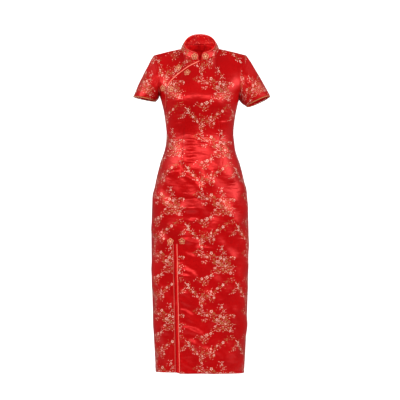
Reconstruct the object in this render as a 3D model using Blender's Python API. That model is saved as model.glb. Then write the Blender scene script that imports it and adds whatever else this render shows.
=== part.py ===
"""A short-sleeved cheongsam of red brocade, as a hollow worn form.

+X is the wearer's left, the front faces -Y and +Z is up. The origin is where the
shoulders carry the dress, midway between the ends of the neckline. Metres.
"""

import math
from collections import namedtuple

import bpy
import numpy as np
from mathutils import Vector
from mathutils.bvhtree import BVHTree

# Cloth and seams
CLOTH = 0.0012
COLLAR_CLOTH = 0.0020
BAND_CLOTH = 0.0010
SEAM_GAP = 0.0003
LARGEST_MITRE = 1.7
WELD = 1e-6
TINY = 1e-12
SHARP_ANGLE = 40.0  # degrees between faces above which an edge is shaded hard

# Trims
PIPING_RADIUS = 0.0015
PIPING_LIFT = 0.0005
FROG_RADIUS = 0.0115
FROG_THICKNESS = 0.0025
FROG_PETALS = 5
FROG_POINTS = 20
FROG_SCALLOP = 0.17

# Body: a row for each height, from the hem up to the neck. Depths are from the plane of the side seams.
Level = namedtuple("Level", "z half_width front back bust")
BODY = (
    Level(-1.187, 0.1625, 0.098, 0.098, 0.000),
    Level(-1.090, 0.1680, 0.101, 0.102, 0.000),
    Level(-0.940, 0.1745, 0.105, 0.107, 0.000),
    Level(-0.760, 0.1785, 0.109, 0.113, 0.000),
    Level(-0.640, 0.1785, 0.112, 0.118, 0.000),
    Level(-0.550, 0.1740, 0.113, 0.121, 0.000),
    Level(-0.490, 0.1640, 0.112, 0.117, 0.000),
    Level(-0.420, 0.1470, 0.107, 0.103, 0.000),
    Level(-0.360, 0.1280, 0.099, 0.088, 0.000),
    Level(-0.310, 0.1230, 0.095, 0.081, 0.001),
    Level(-0.250, 0.1290, 0.099, 0.086, 0.008),
    Level(-0.200, 0.1385, 0.105, 0.095, 0.017),
    Level(-0.168, 0.1480, 0.103, 0.099, 0.014),
    Level(-0.120, 0.1500, 0.094, 0.098, 0.004),
    Level(-0.070, 0.1500, 0.074, 0.093, 0.000),
    Level(-0.040, 0.1500, 0.059, 0.084, 0.000),
    Level(0.024, 0.1500, 0.046, 0.055, 0.000),
)
SQUARENESS = 0.88  # power of the sine and cosine round a section: 1 is an ellipse
BUST_X = 0.066
BUST_WIDTH = 0.048
LOWER_STATIONS = (-1.187, -1.140, -1.090, -1.055, -1.020, -0.980, -0.930, -0.880, -0.830, -0.780,
                  -0.730, -0.690, -0.655, -0.625, -0.600, -0.575, -0.550, -0.525, -0.495, -0.465,
                  -0.435, -0.405, -0.370, -0.335, -0.300, -0.265, -0.235, -0.210, -0.190)
UPPER_ROWS = 8
NECKLINE_PULL = 1.5  # power with which the rows take the neckline's shape on their way up
FRONT_HEM_RISE = 0.0045  # how far the hem rises from the side seams to the centre front
LEFT_HEM_RISE = 0.0045  # how far the hem on the wearer's right of the slit stands above the rest
HEM_POWER = 4  # how soon the rows above the hem lose its shape
UNDERARM_POWER = 8  # how late the rows below the underarm take its width

# Neckline, from 0 degrees at the centre front to 180 at the centre back
NECK_HALF_WIDTH = 0.0700
NECK_CENTRE_Y = -0.0025
NECK_HALF_DEPTH = 0.0575
NECK_MEAN_Z = -0.0090
NECK_SLOPE = 0.0330
NECK_SIDE_RISE = 0.0130
NeckColumn = namedtuple("NeckColumn", "across angle")  # the angle runs back from the centre line
NECK_COLUMNS = (
    NeckColumn(0.00, 0.0),
    NeckColumn(0.05, 7.0),
    NeckColumn(0.12, 20.0),
    NeckColumn(0.20, 35.0),
    NeckColumn(0.28, 52.0),
    NeckColumn(0.36, 70.0),
    NeckColumn(0.45, 90.0),
)
SHOULDER_COLUMNS = 6
SHOULDER_ARCH = 0.001

# Collar rim
RIM_HALF_WIDTH = 0.0590
RIM_CENTRE_Y = -0.0040
RIM_HALF_DEPTH = 0.0560
RIM_MEAN_Z = 0.0220
RIM_SLOPE = 0.0395
COLLAR_BULGE = 0.0015
COLLAR_ROWS = (0.0, 0.5, 1.0)
COLLAR_END_HEIGHT = 0.62  # height of the collar's rounded front end, as a share of its full height

# Armholes: a row for each point from the underarm up to the shoulder point
ArmholePoint = namedtuple("ArmholePoint", "rise x front back z")
SIDES = ("right", "left")
FACES = ("front", "back")
SIGN = {"right": -1.0, "left": 1.0}
UNDERARM_Z = {"right": -0.168, "left": -0.184}
UNDERARM_X = {"right": 0.1490, "left": 0.1440}
ARMHOLE = (
    ArmholePoint(0.00, 0.1470, 0.000, 0.000, -0.176),
    ArmholePoint(0.20, 0.1480, -0.036, 0.038, -0.156),
    ArmholePoint(0.45, 0.1480, -0.047, 0.050, -0.115),
    ArmholePoint(0.70, 0.1515, -0.038, 0.044, -0.072),
    ArmholePoint(0.88, 0.1610, -0.014, 0.024, -0.036),
    ArmholePoint(1.00, 0.1705, 0.005, 0.005, -0.0195),
)

# Sleeves: the cuff's outer and inner corners seen from the front, and its depth
Cuff = namedtuple("Cuff", "outer_x outer_z inner_x inner_z y half_depth tilt")
CUFFS = {
    "right": Cuff(0.2445, -0.1700, 0.1600, -0.1880, -0.004, 0.046, 2.0),
    "left": Cuff(0.2570, -0.1690, 0.1700, -0.2080, -0.008, 0.042, 8.0),
}
SLEEVE_ROWS = (0.0, 0.15, 0.38, 0.62, 0.84, 1.0)
SLEEVE_BULGE = 0.003

# Largest folds: soft ridges on the front, a row for each
Fold = namedtuple("Fold", "x z length width height angle")
FOLDS = (
    Fold(-0.050, -0.560, 0.055, 0.020, 0.0045, -4.0),
    Fold(-0.020, -0.610, 0.070, 0.024, 0.0030, 6.0),
    Fold(-0.045, -0.475, 0.050, 0.024, -0.0045, -35.0),
    Fold(0.060, -0.345, 0.045, 0.018, 0.0035, -38.0),
    Fold(-0.030, -1.035, 0.055, 0.022, 0.0040, -24.0),
    Fold(-0.040, -0.820, 0.050, 0.022, 0.0030, -22.0),
)

# Diagonal closing, seen from the front
CLOSING = ((-0.003, -0.046), (-0.033, -0.0615), (-0.061, -0.080), (-0.093, -0.106),
           (-0.1150, -0.132), (-0.1215, -0.160), (-0.1230, -0.188), (-0.1260, -0.220))
CLOSING_STEP = 0.012
CLOSING_START = (0.015, -0.030)  # above the neckline, so that the cut passes right through
CLOSING_END = (-0.150, -0.236)  # outside the side seam
FAR = 0.400
FRONT_REACH = 0.030  # how far behind the side seams a cutter for the front ends

# Slit in the front
SLIT_TOP_Z = -0.712
SLIT_LEFT_X = (-0.0952, -0.0870)  # at the top and at the hem
SLIT_RIGHT_X = (-0.0845, -0.0750)
BAND_LAP = 0.010
BAND_RISE = 0.010
BAND_BEHIND = 0.0006
BAND_STATIONS = 11
BAND_COLUMNS = 4
PIPING_STATIONS = 32
HEM_MARGIN = 0.0015

# Flower frogs on the front, by the middle of each flower seen from the front
FRONT_FROGS = {
    "frog_chest_upper": (-0.0785, -0.0690),
    "frog_chest_lower": (-0.0465, -0.0890),
    "frog_side_front": (-0.1055, -0.1500),
    "frog_side_arm": (-0.1350, -0.1440),
    "frog_slit_left": (-0.1070, -0.7030),
    "frog_slit_right": (-0.0650, -0.7010),
}
COLLAR_FROG_ANGLE = 18.0
COLLAR_FROG_HEIGHT = 0.45

Finish = namedtuple("Finish", "colour roughness metallic")
BROCADE = Finish((0.66, 0.008, 0.012), 0.36, 0.0)
PLAIN_SATIN = Finish((0.52, 0.006, 0.008), 0.40, 0.0)
CORD = Finish((0.86, 0.130, 0.090), 0.45, 0.0)
GOLD_CORD = Finish((0.60, 0.270, 0.110), 0.50, 0.2)

Skin = namedtuple("Skin", "points offsets")


def clear_scene():
    for thing in list(bpy.data.objects):
        bpy.data.objects.remove(thing, do_unlink=True)


def new_collection(name):
    collection = bpy.data.collections.new(name)
    bpy.context.scene.collection.children.link(collection)
    return collection


def finish_material(name, finish):
    material = bpy.data.materials.new(name)
    material.use_nodes = True
    shader = material.node_tree.nodes["Principled BSDF"]
    shader.inputs["Base Color"].default_value = (*finish.colour, 1.0)
    shader.inputs["Roughness"].default_value = finish.roughness
    shader.inputs["Metallic"].default_value = finish.metallic
    return material


def smooth_curve(positions, values, at):
    """Cubic curve through values at positions, its slopes by central differences."""
    positions = np.asarray(positions, float)
    values = np.asarray(values, float)
    slopes = np.gradient(values, positions)
    cell = np.clip(np.searchsorted(positions, at) - 1, 0, len(positions) - 2)
    width = positions[cell + 1] - positions[cell]
    t = (at - positions[cell]) / width
    start = (1 + 2 * t) * (1 - t) ** 2 * values[cell] + t * (1 - t) ** 2 * width * slopes[cell]
    end = t * t * (3 - 2 * t) * values[cell + 1] + t * t * (t - 1) * width * slopes[cell + 1]
    return start + end


def read_table(table, column, key, at):
    return smooth_curve([getattr(row, key) for row in table], [getattr(row, column) for row in table], at)


def signed_power(base, power):
    return np.sign(base) * np.abs(base) ** power


def unit(vectors):
    return vectors / np.maximum(np.linalg.norm(vectors, axis=-1, keepdims=True), TINY)


def neck_point(angle):
    """Point of the neckline at an angle in radians, 0 at the centre front."""
    return np.stack([
        NECK_HALF_WIDTH * np.sin(angle),
        NECK_CENTRE_Y - NECK_HALF_DEPTH * np.cos(angle),
        NECK_MEAN_Z - NECK_SLOPE * np.cos(angle) + NECK_SIDE_RISE * np.sin(angle) ** 2,
    ], axis=-1)


def rim_point(angle):
    """Point of the collar's upper edge at an angle in radians, 0 at the centre front."""
    return np.stack([
        RIM_HALF_WIDTH * np.sin(angle),
        RIM_CENTRE_Y - RIM_HALF_DEPTH * np.cos(angle),
        RIM_MEAN_Z - RIM_SLOPE * np.cos(angle),
    ], axis=-1)


def armhole_point(side, face, rise):
    """Point of an armhole, by its share of the way up from the underarm, on the front or the back."""
    weight = (1 - rise) ** 2
    x = read_table(ARMHOLE, "x", "rise", rise) + (UNDERARM_X[side] - ARMHOLE[0].x) * weight
    z = read_table(ARMHOLE, "z", "rise", rise) + (UNDERARM_Z[side] - ARMHOLE[0].z) * weight
    return np.stack([SIGN[side] * x, read_table(ARMHOLE, face, "rise", rise), z], axis=-1)


def bust_rise(points, face):
    """Two soft bells on the front, as tall as the body's table says at each height."""
    if face == "back":
        return points
    lift = read_table(BODY, "bust", "z", points[..., 2])
    spread = np.exp(-(((np.abs(points[..., 0]) - BUST_X) / BUST_WIDTH) ** 2))
    raised = points.copy()
    raised[..., 1] -= lift * spread
    return raised


def across_columns():
    """Shares of the way from the centre line to the side, and the neckline's angles in radians."""
    neck = np.array([column.across for column in NECK_COLUMNS])
    shoulder = np.linspace(neck[-1], 1.0, SHOULDER_COLUMNS + 1)[1:]
    angles = np.radians([column.angle for column in NECK_COLUMNS])
    return np.concatenate([neck, shoulder]), angles


def hem_rise(x):
    """How far the hem beyond the slit stands above the rest, growing across the slit's width."""
    reach = np.clip((-x - abs(SLIT_RIGHT_X[1])) / (abs(SLIT_LEFT_X[1]) - abs(SLIT_RIGHT_X[1])), 0, 1)
    return LEFT_HEM_RISE * reach


def lower_half(side, face):
    """Half of a panel from the hem to the underarm: x = w sin^p, y = d cos^p of the share across."""
    across, _ = across_columns()
    stations = np.array([*LOWER_STATIONS, UNDERARM_Z[side]])
    mean_underarm = sum(UNDERARM_Z.values()) / len(UNDERARM_Z)
    share = (stations - stations[0]) / (stations[-1] - stations[0])
    top = mean_underarm + (UNDERARM_Z[side] - mean_underarm) * across
    z = stations[0] + share[:, None] * (top - stations[0])[None, :]
    turn = across * math.pi / 2
    half_width = read_table(BODY, "half_width", "z", z)
    x = SIGN[side] * half_width * np.sin(turn) ** SQUARENESS
    depth = read_table(BODY, face, "z", z)
    direction = -1.0 if face == "front" else 1.0
    y = direction * depth * np.maximum(np.cos(turn), 0) ** SQUARENESS
    y[:, -1] = 0.0
    if face == "front":
        rise = hem_rise(x) + FRONT_HEM_RISE * np.cos(turn) ** 2
        z = z + rise * (1 - share[:, None]) ** HEM_POWER
    # The top station takes the armhole's own underarm width.
    x = x * (1 + (UNDERARM_X[side] / half_width[-1, -1] - 1) * share[:, None] ** UNDERARM_POWER)
    return bust_rise(np.stack([x, y, z], axis=-1), face)


def top_edge(side, face):
    """The neckline and then the shoulder seam, from the centre line to the shoulder point."""
    _, angles = across_columns()
    if face == "back":
        angles = math.pi - angles
    neck = neck_point(angles) * (SIGN[side], 1.0, 1.0)
    tip = armhole_point(side, face, np.array(1.0))
    along = np.linspace(0, 1, SHOULDER_COLUMNS + 1)[1:, None]
    shoulder = neck[-1] * (1 - along) + tip * along
    shoulder[:, 2] += SHOULDER_ARCH * np.sin(math.pi * along[:, 0])
    return np.concatenate([neck, shoulder])


def upper_half(side, face):
    """Half of a panel above the underarm: sections that end on the armhole and take the neckline's shape."""
    across, _ = across_columns()
    direction = -1.0 if face == "front" else 1.0
    rise = np.linspace(0, 1, UPPER_ROWS + 1)
    edge = armhole_point(side, face, rise)
    neck_z = neck_point(np.array(0.0 if face == "front" else math.pi))[2]
    base = sum(UNDERARM_Z.values()) / len(UNDERARM_Z)
    centre_z = base + (neck_z - base) * rise
    depth = read_table(BODY, face, "z", centre_z)
    end_turn = np.arccos(np.clip(signed_power(direction * edge[:, 1] / depth, 1 / SQUARENESS), -1, 1))
    turn = end_turn[:, None] * across[None, :]
    x = edge[:, :1] * (np.sin(turn) / np.sin(end_turn)[:, None]) ** SQUARENESS
    y = direction * depth[:, None] * signed_power(np.cos(turn), SQUARENESS)
    z = centre_z[:, None] + (edge[:, 2] - centre_z)[:, None] * across[None, :] ** (1 + rise[:, None])
    section = np.stack([x, y, z], axis=-1)
    pull = (rise ** NECKLINE_PULL)[:, None, None]
    section = section + pull * (top_edge(side, face) - section[-1])[None]
    raised = bust_rise(section, face)
    raised[:, -1] = edge
    raised[-1] = top_edge(side, face)
    return raised


def folded(points):
    """Soft ridges and troughs on the front: a bell along and across each fold's own line."""
    moved = points.copy()
    for fold in FOLDS:
        dx = points[..., 0] - fold.x
        dz = points[..., 2] - fold.z
        angle = math.radians(fold.angle)
        along = dx * math.cos(angle) + dz * math.sin(angle)
        across = dz * math.cos(angle) - dx * math.sin(angle)
        moved[..., 1] -= fold.height * np.exp(-((along / fold.length) ** 2) - (across / fold.width) ** 2)
    return moved


def panel(face):
    """The whole front or back: rows from the hem up, and columns that run with the outside at their left."""
    halves = {side: np.concatenate([lower_half(side, face)[:-1], upper_half(side, face)]) for side in SIDES}
    if face == "front":
        grid = np.concatenate([halves["right"][:, :0:-1], halves["left"]], axis=1)
        return folded(grid)
    return np.concatenate([halves["left"][:, :0:-1], halves["right"]], axis=1)


def sleeve(side):
    """A tube from the armhole to the cuff, which is an ellipse leaned forward."""
    rise = np.linspace(0, 1, UPPER_ROWS + 1)
    front = armhole_point(side, "front", rise)[::-1]
    back = armhole_point(side, "back", rise)[1:-1]
    ring = np.concatenate([front, back])
    turn = np.linspace(0, 2 * math.pi, len(ring) + 1)[:-1]
    cuff = CUFFS[side]
    sign = SIGN[side]
    outer = np.array([sign * cuff.outer_x, cuff.y, cuff.outer_z])
    inner = np.array([sign * cuff.inner_x, cuff.y, cuff.inner_z])
    tilt = math.radians(cuff.tilt)
    depth = np.array([0.0, -cuff.half_depth * math.cos(tilt), cuff.half_depth * math.sin(tilt)])
    centre = (outer + inner) / 2
    end = centre + np.cos(turn)[:, None] * (outer - inner) / 2 + np.sin(turn)[:, None] * depth
    rows = np.array(SLEEVE_ROWS)[:, None, None]
    outward = unit(end - end.mean(axis=0))
    grid = ring * (1 - rows) + end * rows + SLEEVE_BULGE * 4 * rows * (1 - rows) * outward
    return grid if side == "left" else np.roll(grid[:, ::-1], 1, axis=1)


def collar_half(side):
    """A band from the neckline to the rim, lower at its rounded front end."""
    angles = np.radians([column.angle for column in NECK_COLUMNS[1:]])
    angles = np.concatenate([angles, math.pi - np.radians([c.angle for c in NECK_COLUMNS[-2::-1]])])
    mirror = (SIGN[side], 1.0, 1.0)
    base = neck_point(angles) * mirror
    rim = rim_point(angles) * mirror
    height = np.ones(len(angles))
    height[0] = COLLAR_END_HEIGHT
    rows = np.array(COLLAR_ROWS)[:, None, None] * height[None, :, None]
    outward = unit((rim - base) * (1.0, 1.0, 0.0)) * -1.0
    grid = base + (rim - base) * rows + COLLAR_BULGE * 4 * rows * (1 - rows) * outward
    return grid if side == "left" else grid[:, ::-1]


def cells(grid, closed):
    rows, columns = grid.shape[:2]
    index = np.arange(rows * columns).reshape(rows, columns)
    if closed:
        index = np.concatenate([index, index[:, :1]], axis=1)
    quads = np.stack([index[:-1, :-1], index[:-1, 1:], index[1:, 1:], index[1:, :-1]], axis=-1)
    return quads.reshape(-1, 4)


def triangles(grid, closed):
    """The cells of a grid, each split along its shorter diagonal."""
    quads = cells(grid, closed)
    corners = grid.reshape(-1, 3)[quads]
    first = np.linalg.norm(corners[:, 2] - corners[:, 0], axis=1)
    second = np.linalg.norm(corners[:, 3] - corners[:, 1], axis=1)
    turned = np.where((first <= second)[:, None], quads, np.roll(quads, -1, axis=1))
    return np.concatenate([turned[:, [0, 1, 2]], turned[:, [0, 2, 3]]])


def seam_offsets(grids, thickness):
    """For each grid, the step from its outer to its inner face: the same direction on both sides of a seam.

    The front and the back share their normals, and a sleeve or a collar meets them at the mean of both.
    """
    points = np.concatenate([grid.reshape(-1, 3) for grid, _ in grids.values()])
    _, welded = np.unique(np.round(points / WELD).astype(np.int64), axis=0, return_inverse=True)
    welded = welded.reshape(-1)
    groups = {}
    start = 0
    for name, (grid, closed) in grids.items():
        quads = cells(grid, closed) + start
        corners = points[quads]
        facing = unit(np.cross(corners[:, 2] - corners[:, 0], corners[:, 3] - corners[:, 1]))
        group = "body" if name in FACES else name
        total = groups.setdefault(group, np.zeros((welded.max() + 1, 3)))
        for corner in range(4):
            np.add.at(total, welded[quads[:, corner]], facing)
        start += grid.shape[0] * grid.shape[1]
    normals = np.stack([unit(total) for total in groups.values()])
    present = np.linalg.norm(normals, axis=-1) > 0.5
    mean = unit(normals.sum(axis=0))
    lean = (normals * mean).sum(axis=-1).sum(axis=0) / present.sum(axis=0)
    offsets = (mean * np.minimum(1 / np.maximum(lean, WELD), LARGEST_MITRE)[:, None])[welded]
    skins, start = {}, 0
    for name, (grid, _) in grids.items():
        size = grid.shape[0] * grid.shape[1]
        skins[name] = Skin(grid, offsets[start:start + size].reshape(grid.shape) * thickness.get(name, CLOTH))
        start += size
    return skins


def drawn_in(skin, closed, inset=SEAM_GAP / 2):
    """The skin with its edges a little inside its outline."""
    points = skin.points.copy()
    source = skin.points
    points[0] += unit(source[1] - source[0]) * inset
    points[-1] += unit(source[-2] - source[-1]) * inset
    if not closed:
        points[:, 0] += unit(source[:, 1] - source[:, 0]) * inset
        points[:, -1] += unit(source[:, -2] - source[:, -1]) * inset
    return Skin(points, skin.offsets)


def wall_object(name, skin, closed, collection):
    """A closed wall between a grid and its inner face, with a rim all round."""
    outer = triangles(skin.points, closed)
    count = skin.points.shape[0] * skin.points.shape[1]
    inner = outer[:, ::-1] + count
    edges = np.concatenate([outer[:, [i, (i + 1) % 3]] for i in range(3)])
    keys = edges[:, 0] * count + edges[:, 1]
    lone = edges[~np.isin(edges[:, 1] * count + edges[:, 0], keys)]
    rim = np.stack([lone[:, 1], lone[:, 0], lone[:, 0] + count, lone[:, 1] + count], axis=-1)
    points = np.concatenate([skin.points.reshape(-1, 3), (skin.points - skin.offsets).reshape(-1, 3)])
    mesh = bpy.data.meshes.new(name)
    mesh.from_pydata(points.tolist(), [], [*outer.tolist(), *inner.tolist(), *rim.tolist()])
    mesh.shade_smooth()
    mesh.set_sharp_from_angle(angle=math.radians(SHARP_ANGLE))
    thing = bpy.data.objects.new(name, mesh)
    collection.objects.link(thing)
    return thing


def closing_line(shift):
    """The closing's curve seen from the front, moved square to itself by shift."""
    guide = np.array([CLOSING_START, *CLOSING, CLOSING_END])
    length = np.concatenate([[0], np.cumsum(np.linalg.norm(np.diff(guide, axis=0), axis=1))])
    at = np.arange(0, length[-1], CLOSING_STEP)
    line = np.stack([smooth_curve(length, guide[:, i], at) for i in range(2)], axis=-1)
    tangent = unit(np.gradient(line, axis=0))
    return line + shift * np.stack([tangent[:, 1], -tangent[:, 0]], axis=-1)


def prism(name, outline, front_y, back_y, collection):
    """An outline in X and Z drawn out along Y, for cutting."""
    count = len(outline)
    points = [(x, y, z) for y in (front_y, back_y) for x, z in outline]
    faces = [list(range(count)), list(range(2 * count - 1, count - 1, -1))]
    faces += [[(i + 1) % count, i, i + count, (i + 1) % count + count] for i in range(count)]
    mesh = bpy.data.meshes.new(name)
    mesh.from_pydata(points, [], faces)
    if signed_area(outline) < 0:
        mesh.flip_normals()
    thing = bpy.data.objects.new(name, mesh)
    thing.hide_render = True
    thing.display_type = "WIRE"
    collection.objects.link(thing)
    return thing


def signed_area(outline):
    x, z = np.array(outline).T
    return float((x * np.roll(z, -1) - np.roll(x, -1) * z).sum()) / 2


def chest_outline(shift):
    """The region of the small front piece, seen from the front."""
    line = closing_line(shift)
    corners = [(-FAR, line[-1][1]), (-FAR, FAR), (line[0][0], FAR)]
    return [tuple(point) for point in line] + corners


def slit_outline():
    left_top, left_hem = SLIT_LEFT_X
    right_top, right_hem = SLIT_RIGHT_X
    hem_z = BODY[0].z
    below = (hem_z - FAR - SLIT_TOP_Z) / (hem_z - SLIT_TOP_Z)
    left_low = left_top + (left_hem - left_top) * below
    right_low = right_top + (right_hem - right_top) * below
    low_z = hem_z - FAR
    return [(left_top, SLIT_TOP_Z), (left_low, low_z), (right_low, low_z), (right_top, SLIT_TOP_Z)]


def boolean(thing, cutter, operation):
    modifier = thing.modifiers.new(cutter.name, "BOOLEAN")
    modifier.operation = operation
    modifier.solver = "EXACT"
    modifier.object = cutter


def tree_of(*grids):
    """A ray-casting tree of outer faces."""
    points = np.concatenate([grid.reshape(-1, 3) for grid in grids])
    faces, start = [], 0
    for grid in grids:
        faces.append(cells(grid, False) + start)
        start += grid.shape[0] * grid.shape[1]
    return BVHTree.FromPolygons(points.tolist(), np.concatenate(faces).tolist())


def on_front(tree, x, z):
    """The point and the outward direction of the front at a place seen from the front."""
    point, normal, _, _ = tree.ray_cast(Vector((x, -FAR, z)), Vector((0, 1, 0)))
    return np.array(point), np.array(normal)


def rest_height(tree, point, normal):
    """How far the cloth under a frog rises above the plane through its middle."""
    quat = Vector(normal).to_track_quat("Z", "Y")
    highest = 0.0
    for step in range(FROG_POINTS):
        angle = 2 * math.pi * step / FROG_POINTS
        reach = quat @ Vector((math.cos(angle), math.sin(angle), 0.0)) * FROG_RADIUS
        start = Vector(point) + reach + Vector(normal) * FROG_RADIUS
        hit, _, _, distance = tree.ray_cast(start, -Vector(normal), 2 * FROG_RADIUS)
        if hit is not None:
            highest = max(highest, FROG_RADIUS - distance)
    return highest


def tube(name, points, radius, closed, collection):
    curve = bpy.data.curves.new(name, "CURVE")
    curve.dimensions = "3D"
    curve.bevel_depth = radius
    curve.bevel_resolution = 1
    curve.use_fill_caps = True
    spline = curve.splines.new("POLY")
    spline.points.add(len(points) - 1)
    spline.points.foreach_set("co", np.hstack([points, np.ones((len(points), 1))]).ravel())
    spline.use_cyclic_u = closed
    thing = bpy.data.objects.new(name, curve)
    collection.objects.link(thing)
    return thing


def flower_frog(name, tree, point, normal, collection):
    """A flat five-lobed knot lying on the cloth: r = R (1 - s + s cos 5a)."""
    angle = np.arange(FROG_POINTS) * 2 * math.pi / FROG_POINTS
    radius = FROG_RADIUS * (1 - FROG_SCALLOP + FROG_SCALLOP * np.cos(FROG_PETALS * angle))
    curve = bpy.data.curves.new(name, "CURVE")
    curve.dimensions = "2D"
    curve.fill_mode = "BOTH"
    curve.extrude = FROG_THICKNESS / 2
    spline = curve.splines.new("POLY")
    spline.points.add(FROG_POINTS - 1)
    outline = np.zeros((FROG_POINTS, 4))
    outline[:, 0] = radius * np.sin(angle)
    outline[:, 1] = radius * np.cos(angle)
    outline[:, 3] = 1.0
    spline.points.foreach_set("co", outline.ravel())
    spline.use_cyclic_u = True
    thing = bpy.data.objects.new(name, curve)
    height = rest_height(tree, point, normal) + SEAM_GAP + FROG_THICKNESS / 2
    thing.location = point + normal * height
    thing.rotation_euler = Vector(normal).to_track_quat("Z", "Y").to_euler()
    collection.objects.link(thing)
    return thing


def slit_x(edge, z):
    top, hem = edge
    return top + (hem - top) * (SLIT_TOP_Z - z) / (SLIT_TOP_Z - BODY[0].z)


def slit_band(tree, parts):
    """A strip behind the slit, worked out from the front's own points and moved in."""
    stations = np.linspace(BODY[0].z + FRONT_HEM_RISE, SLIT_TOP_Z + BAND_RISE, BAND_STATIONS)
    points, offsets = [], []
    for z in stations:
        left = slit_x(SLIT_LEFT_X, z) - BAND_LAP
        right = slit_x(SLIT_RIGHT_X, z) + BAND_LAP
        covered_z = max(z, BODY[0].z + LEFT_HEM_RISE + FRONT_HEM_RISE + HEM_MARGIN)
        found = [on_front(tree, x, covered_z) for x in np.linspace(left, right, BAND_COLUMNS)]
        below = np.array([0.0, 0.0, z - covered_z])
        points.append([point - normal * (CLOTH + BAND_BEHIND) + below for point, normal in found])
        offsets.append([normal * BAND_CLOTH for _, normal in found])
    return wall_object("slit_band", Skin(np.array(points), np.array(offsets)), False, parts)


def trims_on_front(tree, parts):
    lift = PIPING_RADIUS + PIPING_LIFT
    line = np.array(CLOSING)
    length = np.concatenate([[0], np.cumsum(np.linalg.norm(np.diff(line, axis=0), axis=1))])
    at = np.linspace(0, length[-1], PIPING_STATIONS)
    places = {"piping_closing": np.stack([smooth_curve(length, line[:, i], at) for i in range(2)], axis=-1)}
    edges = (("piping_slit_left", SLIT_LEFT_X, -1), ("piping_slit_right", SLIT_RIGHT_X, 1))
    for name, edge, outward in edges:
        low = BODY[0].z + LEFT_HEM_RISE + FRONT_HEM_RISE + HEM_MARGIN
        z = np.linspace(SLIT_TOP_Z, low, PIPING_STATIONS)
        places[name] = np.stack([slit_x(edge, z) + outward * PIPING_RADIUS, z], axis=-1)
    made = []
    for name, route in places.items():
        found = [on_front(tree, x, z) for x, z in route]
        points = np.array([point + normal * lift for point, normal in found])
        made.append(tube(name, points, PIPING_RADIUS, False, parts))
    return made


def cuff_piping(side, skin, collection):
    """A ring of cord just beyond the cuff's edge."""
    middle = skin.points - skin.offsets / 2
    beyond = unit(middle[-1] - middle[-2]) * (PIPING_RADIUS + PIPING_LIFT)
    return tube(f"piping_cuff_{side}", middle[-1] + beyond, PIPING_RADIUS, True, collection)


def collar_piping(side, collar, collection):
    """A cord along the rim from the centre back and down the rounded front end, just outside the edge."""
    middle = collar.points - collar.offsets / 2
    if side == "right":
        middle = middle[:, ::-1]
    rim, end = middle[-1, ::-1], middle[-2:0:-1, 0]
    rim_outward = unit(middle[-1] - middle[-2])[::-1]
    end_outward = unit(middle[:, 0] - middle[:, 1])[::-1]
    rim_outward[-1] = unit(rim_outward[-1] + end_outward[0])
    route = np.concatenate([rim, end])
    outward = np.concatenate([rim_outward, end_outward[1:-1]])
    route = route + outward * (PIPING_RADIUS + PIPING_LIFT)
    route[0] += unit(route[1] - route[0]) * PIPING_LIFT
    return tube(f"piping_collar_{side}", route, PIPING_RADIUS, False, collection)


def collar_frog(side, collar, parts):
    """The frog on a collar end, square to the line from the neck's middle."""
    angle = math.radians(COLLAR_FROG_ANGLE)
    share = COLLAR_FROG_HEIGHT
    mirror = np.array([SIGN[side], 1.0, 1.0])
    aim = (neck_point(np.array(angle)) * (1 - share) + rim_point(np.array(angle)) * share) * mirror
    tree = tree_of(collar)
    ray = Vector(-unit(aim * (1.0, 1.0, 0.0)))
    point, normal, _, _ = tree.ray_cast(Vector(aim) - ray * FAR, ray)
    return flower_frog(f"frog_collar_{side}", tree, np.array(point), np.array(normal), parts)


def build():
    clear_scene()
    parts = new_collection("cheongsam_dress")
    cutters = new_collection("cutters")
    grids = {face: (panel(face), False) for face in FACES}
    for side in SIDES:
        grids[f"sleeve_{side}"] = (sleeve(side), True)
        grids[f"collar_{side}"] = (collar_half(side), False)
    skins = seam_offsets(grids, {f"collar_{side}": COLLAR_CLOTH for side in SIDES})

    front = drawn_in(skins["front"], False)
    chest_cutter = prism("chest_region", chest_outline(SEAM_GAP / 2), -FAR, FRONT_REACH, cutters)
    front_cutter = prism("chest_clearance", chest_outline(-SEAM_GAP / 2), -FAR, FRONT_REACH, cutters)
    slit_cutter = prism("slit_gap", slit_outline(), -FAR, 0.0, cutters)
    front_main = wall_object("front_main", front, False, parts)
    boolean(front_main, front_cutter, "DIFFERENCE")
    boolean(front_main, slit_cutter, "DIFFERENCE")
    chest_right = wall_object("chest_right", front, False, parts)
    boolean(chest_right, chest_cutter, "INTERSECT")

    brocade = [front_main, chest_right]
    middle = skins["back"].points.shape[1] // 2
    for side, columns in (("left", slice(0, middle + 1)), ("right", slice(middle, None))):
        half = Skin(skins["back"].points[:, columns], skins["back"].offsets[:, columns])
        brocade.append(wall_object(f"back_{side}", drawn_in(half, False), False, parts))
    tree = tree_of(skins["front"].points)
    cords = trims_on_front(tree, parts)
    for side in SIDES:
        collar = skins[f"collar_{side}"]
        tube_skin = skins[f"sleeve_{side}"]
        brocade.append(wall_object(f"collar_{side}", drawn_in(collar, False, SEAM_GAP), False, parts))
        brocade.append(wall_object(f"sleeve_{side}", drawn_in(tube_skin, True), True, parts))
        cords.append(collar_piping(side, collar, parts))
        cords.append(cuff_piping(side, tube_skin, parts))
    frogs = [collar_frog(side, skins[f"collar_{side}"].points, parts) for side in SIDES]
    for name, (x, z) in FRONT_FROGS.items():
        point, normal = on_front(tree, x, z)
        frogs.append(flower_frog(name, tree, point, normal, parts))
    band = slit_band(tree, parts)
    for things, finish in ((brocade, BROCADE), (cords, CORD), (frogs, GOLD_CORD), ([band], PLAIN_SATIN)):
        for thing in things:
            thing.data.materials.append(finish_material(f"{thing.name}_cloth", finish))


build()
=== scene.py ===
import math

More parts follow.
